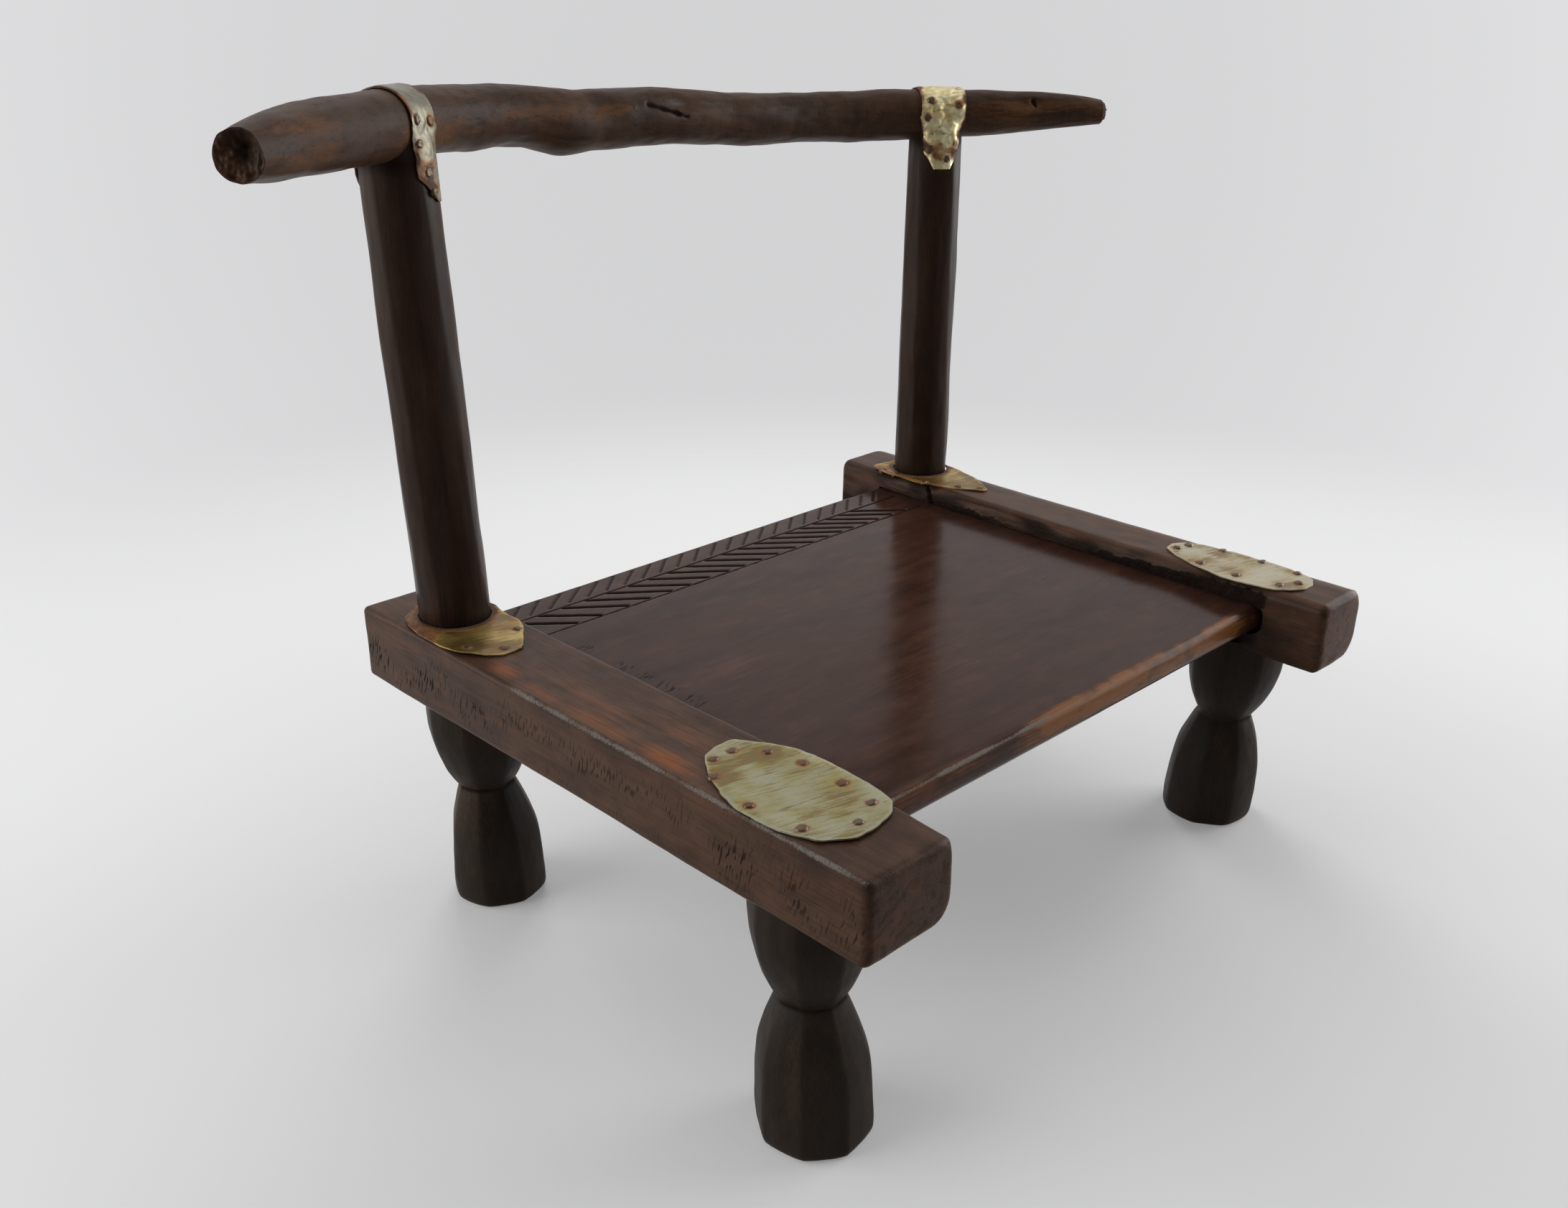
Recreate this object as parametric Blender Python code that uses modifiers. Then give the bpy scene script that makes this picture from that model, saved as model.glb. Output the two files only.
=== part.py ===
"""Low birthing stool with a back: two hewn side rails, a seat board housed between them,
four spool-shaped legs, two posts, and a bowed branch as the crest rail. Sheet-metal plates,
collars and straps are nailed over the joints.

Metres, +Z up. +X is to the right of someone who faces the stool, and -Y is its front.
Inside the frame empty, y is measured from the front end of the left rail and x from the
middle of the seat. The empty then puts the origin on the floor under the middle of the
stool's own box.
"""

from math import cos, pi, radians, sin, sqrt

import bmesh
import bpy
from mathutils import Vector

# Side rails
LEFT_RAIL_LENGTH = 0.480
LEFT_RAIL_WIDTH = 0.068
RIGHT_RAIL_LENGTH = 0.470
RIGHT_RAIL_WIDTH = 0.056
RIGHT_RAIL_SETBACK = 0.012
RAIL_HEIGHT = 0.052
RAIL_TOP = 0.204
RAIL_SPACING = 0.418
RAIL_EDGE = 0.003
RAIL_BELLY = 0.016

# Seat board and its herringbone carving
SEAT_DROP = 0.0143
SEAT_THICKNESS = 0.022
SEAT_FRONT = 0.0626
SEAT_BACK_MARGIN = 0.046
SEAT_NOSE = 0.009
SEAT_TONGUE = 0.010
CARVED_BAND_SIDE_MARGIN = 0.009
CARVED_LINE_WIDTH = 0.0016
CARVED_LINE_DEPTH = 0.0010
MIDDLE_LINE_FROM_BACK = 0.025
FRONT_LINE_FROM_BACK = 0.057
FRONT_STROKE_PITCH = 0.0205
FRONT_STROKE_RUN = 0.0345
FRONT_STROKE_WIDTH = 0.0024
FRONT_STROKE_DEPTH = 0.0014
BACK_STROKE_PITCH = 0.0175
BACK_STROKE_RUN = 0.0195
BACK_STROKE_WIDTH = 0.0024
BACK_STROKE_DEPTH = 0.0010
STROKE_CLEAR_OF_LINE = 0.0022

# Legs: radius at shares of the height from floor to rail, then where each one stands
LEG_PROFILE = (
    (0.00, 0.0325), (0.02, 0.0340), (0.15, 0.0340), (0.28, 0.0330), (0.37, 0.0310),
    (0.45, 0.0270), (0.52, 0.0230), (0.572, 0.0200), (0.625, 0.0245), (0.69, 0.0290),
    (0.78, 0.0330), (0.88, 0.0350), (1.00, 0.0345),
)
LEG_FACETS = 8
LEG_FACET_FLATNESS = 0.045
LEG_TENON_RADIUS = 0.0140
LEG_TENON_LENGTH = 0.022
LEFT_LEG_INSET = 0.032
RIGHT_LEG_INSET = 0.028
FRONT_LEFT_LEG_FROM_FRONT = 0.077
FRONT_RIGHT_LEG_FROM_FRONT = 0.088
REAR_LEFT_LEG_FROM_BACK = 0.079
REAR_RIGHT_LEG_FROM_BACK = 0.081
FRONT_LEFT_FOOT_SPLAY = (-0.008, -0.016)
FRONT_RIGHT_FOOT_SPLAY = (-0.003, 0.007)
REAR_LEFT_FOOT_SPLAY = (0.004, -0.007)
REAR_RIGHT_FOOT_SPLAY = (-0.002, -0.004)

# Back posts
LEFT_POST_INSET = 0.0305
LEFT_POST_FROM_BACK = 0.0595
LEFT_POST_FOOT_RADIUS = 0.0239
LEFT_POST_HEAD_RADIUS = 0.0230
LEFT_POST_OUTWARD_LEAN = 0.0115
RIGHT_POST_INSET = 0.0310
RIGHT_POST_FROM_BACK = 0.0670
RIGHT_POST_FOOT_RADIUS = 0.0224
RIGHT_POST_HEAD_RADIUS = 0.0214
RIGHT_POST_OUTWARD_LEAN = 0.0135
POST_SIDES = 16
POST_RINGS = 7
POST_TENON_RADIUS = 0.0140
POST_TENON_LENGTH = 0.025
POST_SADDLE_SHARE = 0.80
CREST_TENON_RADIUS = 0.0080
CREST_TENON_INTO_CREST = 0.020

# Crest rail, a bent branch: x, y behind the post line, height above the back's level, radius
BACK_HEIGHT = 0.310
CREST_STATIONS = (
    (-0.397, -0.091, 0.0150, 0.0140),
    (-0.375, -0.074, 0.0155, 0.0168),
    (-0.345, -0.052, 0.0155, 0.0188),
    (-0.310, -0.028, 0.0150, 0.0201),
    (-0.270, -0.003, 0.0138, 0.0208),
    (-0.240, 0.014, 0.0132, 0.0210),
    (-0.204, 0.030, 0.0122, 0.0205),
    (-0.165, 0.042, 0.0103, 0.0203),
    (-0.130, 0.048, 0.0080, 0.0203),
    (-0.093, 0.051, 0.0022, 0.0213),
    (-0.060, 0.053, 0.0013, 0.0205),
    (0.000, 0.053, 0.0000, 0.0198),
    (0.060, 0.053, -0.0055, 0.0193),
    (0.120, 0.049, -0.0085, 0.0189),
    (0.167, 0.041, -0.0095, 0.0190),
    (0.210, 0.028, -0.0105, 0.0197),
    (0.251, 0.008, -0.0100, 0.0191),
    (0.294, -0.018, -0.0100, 0.0174),
    (0.336, -0.045, -0.0090, 0.0145),
    (0.358, -0.061, -0.0090, 0.0122),
    (0.372, -0.072, -0.0100, 0.0098),
)
POST_LINE_FROM_BACK = 0.061
CREST_SIDES = 16
CREST_RINGS = 34

# Sheet metal and nails
SHEET_THICKNESS = 0.0010
NAIL_HEAD_RADIUS = 0.0032
NAIL_HEAD_RIM = 0.0007
NAIL_HEAD_HEIGHT = 0.0016
NAIL_HEAD_FLAT_RADIUS = 0.0019
NAIL_SHANK_RADIUS = 0.0011
NAIL_POINT_RADIUS = 0.0006
NAIL_LENGTH = 0.0110
NAIL_SIDES = 8
NAIL_HOLE_RADIUS = 0.0015

# Front plates: corners and nails as shares of half the rail's width and of half the plate's length
LEFT_PLATE_FROM_FRONT = 0.095
LEFT_PLATE_LENGTH = 0.120
LEFT_PLATE_CORNERS = (
    (-0.29, 0.95), (0.52, 1.00), (0.98, 0.64), (1.10, 0.20), (1.10, -0.36), (0.92, -0.83),
    (0.22, -1.00), (-0.68, -0.88), (-0.97, -0.46), (-0.96, 0.20), (-0.72, 0.66),
)
LEFT_PLATE_NAILS = (
    (0.26, 0.85), (0.66, 0.60), (0.82, 0.22), (0.82, -0.30), (0.70, -0.72),
    (0.12, -0.87), (-0.64, -0.60), (-0.76, 0.00), (-0.55, 0.60), (-0.16, 0.85),
)
RIGHT_PLATE_FROM_FRONT = 0.098
RIGHT_PLATE_LENGTH = 0.118
RIGHT_PLATE_CORNERS = (
    (-0.20, 0.97), (0.33, 1.00), (0.68, 0.71), (0.86, 0.02), (0.78, -0.68), (0.36, -0.95),
    (-0.28, -1.00), (-0.72, -0.75), (-0.98, -0.17), (-0.86, 0.37), (-0.62, 0.71),
)
RIGHT_PLATE_NAILS = (
    (-0.10, 0.85), (0.30, 0.80), (0.62, 0.39), (0.64, -0.17), (0.56, -0.68),
    (-0.04, -0.85), (-0.50, -0.71), (-0.72, -0.17), (-0.62, 0.36),
)

# Post collars: angle round the post and reach from its side, in degrees and metres
LEFT_COLLAR_CORNERS = (
    (207, 0.017), (226, 0.027), (249, 0.046), (260, 0.054), (273, 0.051), (303, 0.027),
    (343, 0.0067), (30, 0.0077), (69, 0.0087), (110, 0.0083), (150, 0.0100),
)
LEFT_COLLAR_NAILS = ((244, 0.036), (264, 0.046), (288, 0.029), (220, 0.0110), (45, 0.0048))
RIGHT_COLLAR_CORNERS = (
    (130, 0.019), (162, 0.016), (195, 0.013), (211, 0.020), (226, 0.029), (241, 0.029),
    (268, 0.057), (275, 0.046), (291, 0.024), (323, 0.0036), (0, 0.0032), (42, 0.0040),
    (84, 0.0067),
)
RIGHT_COLLAR_NAILS = ((147, 0.0115), (174, 0.0062), (226, 0.0175), (266, 0.050), (255, 0.037))

# Crest straps: how far each sits to the right of its post's middle, half widths over the crest and
# on the post, how far the tongues hang, and where and how much they narrow to their tips
LEFT_STRAP_SHIFT = -0.0014
LEFT_STRAP_HALF_WIDTH = 0.0142
LEFT_TONGUE_HALF_WIDTH = 0.0125
LEFT_TONGUE_DROP = 0.046
LEFT_TIP_START = 0.50
LEFT_TIP_SHARE = 0.36
RIGHT_STRAP_SHIFT = -0.0020
RIGHT_STRAP_HALF_WIDTH = 0.0195
RIGHT_TONGUE_HALF_WIDTH = 0.0145
RIGHT_TONGUE_DROP = 0.042
RIGHT_TIP_START = 0.68
RIGHT_TIP_SHARE = 0.46
STRAP_COLUMNS = 6
STRAP_TONGUE_ROWS = 8
STRAP_ARC_ROWS = 12
TONGUE_NECK_SHARE = 0.4
# Strap nails: share of the half width and angle up the crest's front, then share of the tongue's
# half width, drop below the crest's middle and side of the post, 1 in front and -1 behind
LEFT_STRAP_CREST_NAILS = ((-0.54, 11), (0.60, 6))
LEFT_STRAP_POST_NAILS = ((-0.62, 0.0095, 1), (-0.20, 0.0265, 1), (0.08, 0.0385, 1))
RIGHT_STRAP_CREST_NAILS = ((-0.46, 35), (0.74, 24), (-0.68, -2), (0.45, 150))
RIGHT_STRAP_POST_NAILS = ((-0.70, 0.0255, 1), (0.72, 0.0215, 1), (0.24, 0.0330, 1), (0.0, 0.0290, -1))

# Clearances
FIT = 0.0003
STRAP_LIFT = 0.0006
CUT_PAST = 0.004

# Places worked out from the sizes above
INNER_FACE = RAIL_SPACING / 2
LEFT_RAIL_X = -INNER_FACE - LEFT_RAIL_WIDTH / 2
RIGHT_RAIL_X = INNER_FACE + RIGHT_RAIL_WIDTH / 2
REAR_END = LEFT_RAIL_LENGTH
RIGHT_REAR_END = RIGHT_RAIL_SETBACK + RIGHT_RAIL_LENGTH
RAIL_UNDERSIDE = RAIL_TOP - RAIL_HEIGHT
SEAT_TOP = RAIL_TOP - SEAT_DROP
SEAT_BACK = REAR_END - SEAT_BACK_MARGIN
SHEET_UNDERSIDE = RAIL_TOP + FIT
UP = Vector((0, 0, 1))


for old in list(bpy.data.objects):
    bpy.data.objects.remove(old, do_unlink=True)

scene_root = bpy.context.scene.collection
stool = bpy.data.collections.new("birthing_stool")
cutters = bpy.data.collections.new("cutters")
scene_root.children.link(stool)
scene_root.children.link(cutters)
frame = bpy.data.objects.new("stool_frame", None)
stool.objects.link(frame)


def finish(name, colour, roughness, metallic=0.0):
    """A Principled material of one plain finish."""
    material = bpy.data.materials.new(name)
    material.use_nodes = True
    shader = material.node_tree.nodes["Principled BSDF"]
    shader.inputs["Base Color"].default_value = (*colour, 1.0)
    shader.inputs["Roughness"].default_value = roughness
    shader.inputs["Metallic"].default_value = metallic
    return material


RAIL_WOOD = finish("rail_wood", (0.085, 0.045, 0.028), 0.50)
SEAT_WOOD = finish("seat_wood", (0.070, 0.036, 0.028), 0.30)
LEG_WOOD = finish("leg_wood", (0.040, 0.027, 0.020), 0.55)
POST_WOOD = finish("post_wood", (0.058, 0.034, 0.023), 0.45)
BRANCH_WOOD = finish("branch_wood", (0.110, 0.065, 0.040), 0.60)
SHEET_METAL = finish("sheet_metal", (0.560, 0.510, 0.300), 0.42, 0.9)
NAIL_IRON = finish("nail_iron", (0.120, 0.085, 0.060), 0.70, 0.6)


def add_piece(name, mesh, material):
    """Put a mesh into the stool as a named piece."""
    piece = bpy.data.objects.new(name, mesh)
    if not mesh.materials:
        mesh.materials.append(material)
    stool.objects.link(piece)
    piece.parent = frame
    return piece


def add_cutter(name, mesh):
    """Put a mesh aside as a cutter that only shapes other pieces."""
    cutter = bpy.data.objects.new(name, mesh)
    cutters.objects.link(cutter)
    cutter.parent = frame
    cutter.hide_render = True
    cutter.display_type = "WIRE"
    return cutter


def to_mesh(name, bm):
    """Close a bmesh into a mesh with its faces pointing out."""
    bmesh.ops.recalc_face_normals(bm, faces=bm.faces)
    mesh = bpy.data.meshes.new(name)
    bm.to_mesh(mesh)
    bm.free()
    return mesh


def boolean(piece, cutter, operation="DIFFERENCE"):
    """Cut a piece by a cutter, or join the cutter to it."""
    modifier = piece.modifiers.new(cutter.name, "BOOLEAN")
    modifier.operation = operation
    modifier.object = cutter


def round_shading(mesh):
    """Shade a round piece smooth, with its real edges kept sharp."""
    mesh.shade_smooth()
    mesh.set_sharp_from_angle(angle=radians(40))


def loft(name, rings):
    """Skin closed rings of equal count and cap both ends."""
    bm = bmesh.new()
    loops = [[bm.verts.new(point) for point in ring] for ring in rings]
    count = len(loops[0])
    for low, high in zip(loops, loops[1:]):
        for i in range(count):
            j = (i + 1) % count
            bm.faces.new((low[i], low[j], high[j], high[i]))
    bm.faces.new(list(reversed(loops[0])))
    bm.faces.new(loops[-1])
    return to_mesh(name, bm)


def flat_ring(centre, radius, sides, flatness=0.0):
    """A level ring of points; flatness draws every second point in, which makes facets."""
    ring = []
    for i in range(sides):
        reach = radius * (1 - flatness * (i % 2))
        angle = 2 * pi * i / sides
        ring.append(Vector((centre.x + reach * cos(angle), centre.y + reach * sin(angle), centre.z)))
    return ring


def box_bmesh(low, high):
    """A box between two corners, from a unit cube."""
    bm = bmesh.new()
    bmesh.ops.create_cube(bm, size=1.0)
    size = Vector(high) - Vector(low)
    bmesh.ops.scale(bm, vec=size, verts=bm.verts)
    bmesh.ops.translate(bm, vec=Vector(low) + size / 2, verts=bm.verts)
    return bm


def bevel_edges(bm, edges, width, segments):
    """Round some edges of a bmesh."""
    bmesh.ops.bevel(
        bm, geom=edges, offset=width, offset_type="OFFSET", segments=segments, profile=0.5,
        affect="EDGES",
    )


def edges_along(bm, axis, test):
    """Edges of a box that run along an axis and pass a test on their middle point."""
    found = []
    for edge in bm.edges:
        run = edge.verts[1].co - edge.verts[0].co
        middle = (edge.verts[1].co + edge.verts[0].co) / 2
        if abs(run[axis]) > 0.9 * run.length and test(middle):
            found.append(edge)
    return found


def drill(bm, point, direction, radius, above, depth, sides):
    """Add a round hole's cutter to a bmesh, along a direction that points out of the work."""
    length = above + depth
    made = bmesh.ops.create_cone(
        bm, cap_ends=True, segments=sides, radius1=radius, radius2=radius, depth=length,
    )
    turn = UP.rotation_difference(direction).to_matrix().to_4x4()
    middle = point + direction * (above - length / 2)
    bmesh.ops.transform(bm, matrix=turn, verts=made["verts"])
    bmesh.ops.translate(bm, vec=middle, verts=made["verts"])


def round_cutter(name, centre, radius, low, high, sides):
    """An upright round cutter between two heights."""
    bm = bmesh.new()
    drill(bm, Vector((centre.x, centre.y, high)), UP, radius, 0.0, high - low, sides)
    return add_cutter(name, to_mesh(name, bm))


# Crest rail's centre line: a smooth curve through its stations

def crest_station(share):
    """Centre and radius of the branch at a share of its length, by Catmull-Rom through stations."""
    spans = len(CREST_STATIONS) - 1
    place = min(max(share, 0.0), 1.0) * spans
    index = min(int(place), spans - 1)
    t = place - index
    knots = [CREST_STATIONS[min(max(index + k, 0), spans)] for k in (-1, 0, 1, 2)]
    values = []
    for a, b, c, d in zip(*knots):
        values.append(
            b + 0.5 * t * (c - a + t * (2 * a - 5 * b + 4 * c - d + t * (3 * (b - c) + d - a)))
        )
    x, y, height, radius = values
    return Vector((x, REAR_END - POST_LINE_FROM_BACK + y, RAIL_TOP + BACK_HEIGHT + height)), radius


def crest_frame(share):
    """Centre, tangent, front and upward directions and radius of the branch."""
    step = 0.002
    ahead = crest_station(share + step)[0]
    behind = crest_station(share - step)[0]
    tangent = (ahead - behind).normalized()
    front = tangent.cross(UP).normalized()
    centre, radius = crest_station(share)
    return centre, tangent, front, front.cross(tangent), radius


def crest_share_at(x):
    """Share of the branch's length where its centre line passes a given x."""
    low = 0.0
    high = 1.0
    for _ in range(40):
        middle = (low + high) / 2
        if crest_station(middle)[0].x < x:
            low = middle
        else:
            high = middle
    return (low + high) / 2


def crest_point(share, angle, lift=0.0):
    """A point on the branch's surface; angle 0 is its front, 90 degrees its top."""
    centre, _, front, upward, radius = crest_frame(share)
    return centre + (radius + lift) * (cos(angle) * front + sin(angle) * upward)


def crest_rings(lift):
    """Rings of points round the branch, end to end."""
    rings = []
    for i in range(CREST_RINGS + 1):
        share = i / CREST_RINGS
        rings.append([crest_point(share, 2 * pi * k / CREST_SIDES, lift) for k in range(CREST_SIDES)])
    return rings


# Side rails: beams with small worn edges and one rounded lower edge

def make_rail(name, centre_x, width, front, length):
    bm = box_bmesh(
        (centre_x - width / 2, front, RAIL_UNDERSIDE),
        (centre_x + width / 2, front + length, RAIL_TOP),
    )
    belly = edges_along(bm, 1, lambda m: m.x > centre_x and m.z < RAIL_TOP - RAIL_HEIGHT / 2)
    bevel_edges(bm, belly, RAIL_BELLY, 4)
    rail = add_piece(name, to_mesh(name, bm), RAIL_WOOD)
    worn = rail.modifiers.new("worn_edges", "BEVEL")
    worn.width = RAIL_EDGE
    worn.segments = 2
    worn.limit_method = "ANGLE"
    worn.angle_limit = radians(40)
    return rail


left_rail = make_rail("left_side_rail", LEFT_RAIL_X, LEFT_RAIL_WIDTH, 0.0, LEFT_RAIL_LENGTH)
right_rail = make_rail(
    "right_side_rail", RIGHT_RAIL_X, RIGHT_RAIL_WIDTH, RIGHT_RAIL_SETBACK, RIGHT_RAIL_LENGTH,
)


# Seat board: its sides are tongues that lie in stopped grooves in the rails

def make_board(name, gap):
    """The board's block with a rounded nose, grown by a gap for its housing."""
    reach = INNER_FACE + SEAT_TONGUE
    bm = box_bmesh(
        (-reach - gap, SEAT_FRONT - gap, SEAT_TOP - SEAT_THICKNESS - gap),
        (reach + gap, SEAT_BACK + gap, SEAT_TOP + gap),
    )
    nose = edges_along(bm, 0, lambda m: m.y < (SEAT_FRONT + SEAT_BACK) / 2)
    bevel_edges(bm, nose, SEAT_NOSE, 3)
    return to_mesh(name, bm)


seat = add_piece("seat_board", make_board("seat_board", 0.0), SEAT_WOOD)
seat_housing = add_cutter("seat_housing", make_board("seat_housing", FIT))
boolean(left_rail, seat_housing)
boolean(right_rail, seat_housing)


# Herringbone: two rows of gouged strokes that meet along a middle line

def gouge(bm, start, end, width, depth):
    """A stroke's cutter: a long eight-sided diamond, deepest in its middle."""
    made = bmesh.ops.create_uvsphere(bm, u_segments=4, v_segments=2, radius=1.0)
    run = Vector((end[0] - start[0], end[1] - start[1], 0))
    bmesh.ops.scale(bm, vec=(run.length / 2, width / 2, depth), verts=made["verts"])
    turn = Vector((1, 0, 0)).rotation_difference(run.normalized()).to_matrix().to_4x4()
    bmesh.ops.transform(bm, matrix=turn, verts=made["verts"])
    middle = Vector(((start[0] + end[0]) / 2, (start[1] + end[1]) / 2, SEAT_TOP))
    bmesh.ops.translate(bm, vec=middle, verts=made["verts"])


def carve_row(bm, start_y, end_y, run, pitch, width, depth):
    """A row of slanted strokes between two lines across the seat."""
    low_x = -INNER_FACE + CARVED_BAND_SIDE_MARGIN
    high_x = INNER_FACE - CARVED_BAND_SIDE_MARGIN - run
    count = int((high_x - low_x) / pitch) + 1
    for i in range(count):
        x = low_x + i * pitch
        gouge(bm, (x, start_y), (x + run, end_y), width, depth)


middle_line = SEAT_BACK - MIDDLE_LINE_FROM_BACK
front_line = SEAT_BACK - FRONT_LINE_FROM_BACK
line_reach = INNER_FACE - CARVED_BAND_SIDE_MARGIN / 2
carving = bmesh.new()
for line in (middle_line, front_line):
    gouge(carving, (-line_reach, line), (line_reach, line), CARVED_LINE_WIDTH, CARVED_LINE_DEPTH)
carve_row(
    carving, middle_line - STROKE_CLEAR_OF_LINE, front_line + STROKE_CLEAR_OF_LINE,
    FRONT_STROKE_RUN, FRONT_STROKE_PITCH, FRONT_STROKE_WIDTH, FRONT_STROKE_DEPTH,
)
carve_row(
    carving, middle_line + STROKE_CLEAR_OF_LINE, SEAT_BACK - STROKE_CLEAR_OF_LINE,
    BACK_STROKE_RUN, BACK_STROKE_PITCH, BACK_STROKE_WIDTH, BACK_STROKE_DEPTH,
)
boolean(seat, add_cutter("herringbone", to_mesh("herringbone", carving)))


# Legs: eight-sided spools with a round tenon in the rail

def make_leg(name, rail, x, y, splay):
    top = Vector((x, y, RAIL_UNDERSIDE - FIT))
    foot = Vector((x + splay[0], y + splay[1], 0.0))
    rings = []
    for share, radius in LEG_PROFILE:
        rings.append(flat_ring(foot.lerp(top, share), radius, 2 * LEG_FACETS, LEG_FACET_FLATNESS))
    tenon_top = RAIL_UNDERSIDE + LEG_TENON_LENGTH
    for height in (top.z, tenon_top):
        rings.append(flat_ring(Vector((x, y, height)), LEG_TENON_RADIUS, 2 * LEG_FACETS))
    mesh = loft(name, rings)
    round_shading(mesh)
    add_piece(name, mesh, LEG_WOOD)
    socket = round_cutter(
        name + "_socket", top, LEG_TENON_RADIUS + FIT, RAIL_UNDERSIDE - CUT_PAST, tenon_top + FIT,
        2 * LEG_FACETS,
    )
    boolean(rail, socket)


left_leg_x = -INNER_FACE - LEFT_LEG_INSET
right_leg_x = INNER_FACE + RIGHT_LEG_INSET
rear_left_leg_y = REAR_END - REAR_LEFT_LEG_FROM_BACK
rear_right_leg_y = RIGHT_REAR_END - REAR_RIGHT_LEG_FROM_BACK
make_leg("front_left_leg", left_rail, left_leg_x, FRONT_LEFT_LEG_FROM_FRONT, FRONT_LEFT_FOOT_SPLAY)
make_leg("front_right_leg", right_rail, right_leg_x, FRONT_RIGHT_LEG_FROM_FRONT, FRONT_RIGHT_FOOT_SPLAY)
make_leg("rear_left_leg", left_rail, left_leg_x, rear_left_leg_y, REAR_LEFT_FOOT_SPLAY)
make_leg("rear_right_leg", right_rail, right_leg_x, rear_right_leg_y, REAR_RIGHT_FOOT_SPLAY)


# Crest rail: the branch, with a mortise over each post

crest_mesh = loft("crest_rail", crest_rings(0.0))
round_shading(crest_mesh)
crest = add_piece("crest_rail", crest_mesh, BRANCH_WOOD)
crest_saddle = add_cutter("crest_saddle", loft("crest_saddle", crest_rings(FIT)))


# Back posts: tenoned into the rails, saddled under the branch and tenoned into it

class Post:
    """Where a post stands, where it meets the branch, and its radius at any height."""

    def __init__(self, x, y, lean, foot_radius, head_radius):
        self.share = crest_share_at(x + lean)
        self.crossing, self.tangent, self.front, _, self.crest_radius = crest_frame(self.share)
        self.foot = Vector((x, y, RAIL_TOP))
        self.top = self.crossing.z - POST_SADDLE_SHARE * self.crest_radius
        self.foot_radius = foot_radius
        self.head_radius = head_radius

    def axis(self, z):
        rise = (z - self.foot.z) / (self.crossing.z - self.foot.z)
        return self.foot.lerp(self.crossing, rise)

    def radius(self, z):
        rise = (z - self.foot.z) / (self.crossing.z - self.foot.z)
        return self.foot_radius + rise * (self.head_radius - self.foot_radius)


def make_post(name, rail, post):
    foot = RAIL_TOP + FIT
    socket_floor = RAIL_TOP - POST_TENON_LENGTH
    rings = []
    for height in (socket_floor, foot):
        rings.append(flat_ring(Vector((*post.foot.xy, height)), POST_TENON_RADIUS, POST_SIDES))
    for i in range(POST_RINGS + 1):
        z = foot + (post.top - foot) * i / POST_RINGS
        rings.append(flat_ring(post.axis(z), post.radius(z), POST_SIDES))
    mesh = loft(name, rings)
    round_shading(mesh)
    piece = add_piece(name, mesh, POST_WOOD)
    boolean(piece, crest_saddle)
    crest_underside = post.crossing.z - post.crest_radius
    tenon_top = crest_underside + CREST_TENON_INTO_CREST
    tenon = round_cutter(
        name + "_upper_tenon", post.crossing, CREST_TENON_RADIUS,
        crest_underside - CREST_TENON_INTO_CREST, tenon_top, POST_SIDES,
    )
    boolean(piece, tenon, "UNION")
    mortise = round_cutter(
        name + "_mortise", post.crossing, CREST_TENON_RADIUS + FIT,
        crest_underside - CUT_PAST, tenon_top + FIT, POST_SIDES,
    )
    boolean(crest, mortise)
    socket = round_cutter(
        name + "_socket", post.foot, POST_TENON_RADIUS + FIT,
        socket_floor - FIT, RAIL_TOP + CUT_PAST, POST_SIDES,
    )
    boolean(rail, socket)
    return piece


left_post = Post(
    -INNER_FACE - LEFT_POST_INSET, REAR_END - LEFT_POST_FROM_BACK, -LEFT_POST_OUTWARD_LEAN,
    LEFT_POST_FOOT_RADIUS, LEFT_POST_HEAD_RADIUS,
)
right_post = Post(
    INNER_FACE + RIGHT_POST_INSET, RIGHT_REAR_END - RIGHT_POST_FROM_BACK, RIGHT_POST_OUTWARD_LEAN,
    RIGHT_POST_FOOT_RADIUS, RIGHT_POST_HEAD_RADIUS,
)
left_post_piece = make_post("left_back_post", left_rail, left_post)
right_post_piece = make_post("right_back_post", right_rail, right_post)


# Nails: hammered round heads on tapering shanks, one mesh shared by all

def make_nail_mesh():
    profile = (
        (0.0, FIT + NAIL_HEAD_HEIGHT), (NAIL_HEAD_FLAT_RADIUS, FIT + NAIL_HEAD_HEIGHT),
        (NAIL_HEAD_RADIUS, FIT + NAIL_HEAD_RIM), (NAIL_HEAD_RADIUS, FIT),
        (NAIL_SHANK_RADIUS, FIT), (NAIL_POINT_RADIUS, -NAIL_LENGTH), (0.0, -NAIL_LENGTH),
    )
    mesh = bpy.data.meshes.new("nail_profile")
    edges = [(i, i + 1) for i in range(len(profile) - 1)]
    mesh.from_pydata([(radius, 0.0, height) for radius, height in profile], edges, [])
    turned = add_cutter("nail_profile", mesh)
    screw = turned.modifiers.new("turned", "SCREW")
    screw.steps = NAIL_SIDES
    screw.render_steps = NAIL_SIDES
    screw.use_merge_vertices = True
    screw.merge_threshold = 0.00001
    graph = bpy.context.evaluated_depsgraph_get()
    nail = bpy.data.meshes.new_from_object(turned.evaluated_get(graph))
    bpy.data.objects.remove(turned, do_unlink=True)
    round_shading(nail)
    return nail


nail_mesh = make_nail_mesh()


def drive_nails(name, places, sheet, work):
    """Nail a sheet down: a nail at each place, and its hole through the sheet into the wood."""
    holes = bmesh.new()
    for number, (point, direction) in enumerate(places, 1):
        nail = add_piece(f"{name}_nail_{number:02d}", nail_mesh, NAIL_IRON)
        nail.location = point
        nail.rotation_euler = UP.rotation_difference(direction).to_euler()
        drill(holes, point, direction, NAIL_HOLE_RADIUS, CUT_PAST, NAIL_LENGTH + FIT, NAIL_SIDES)
    cutter = add_cutter(name + "_nail_holes", to_mesh(name + "_nail_holes", holes))
    for piece in (sheet, *work):
        boolean(piece, cutter)


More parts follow.
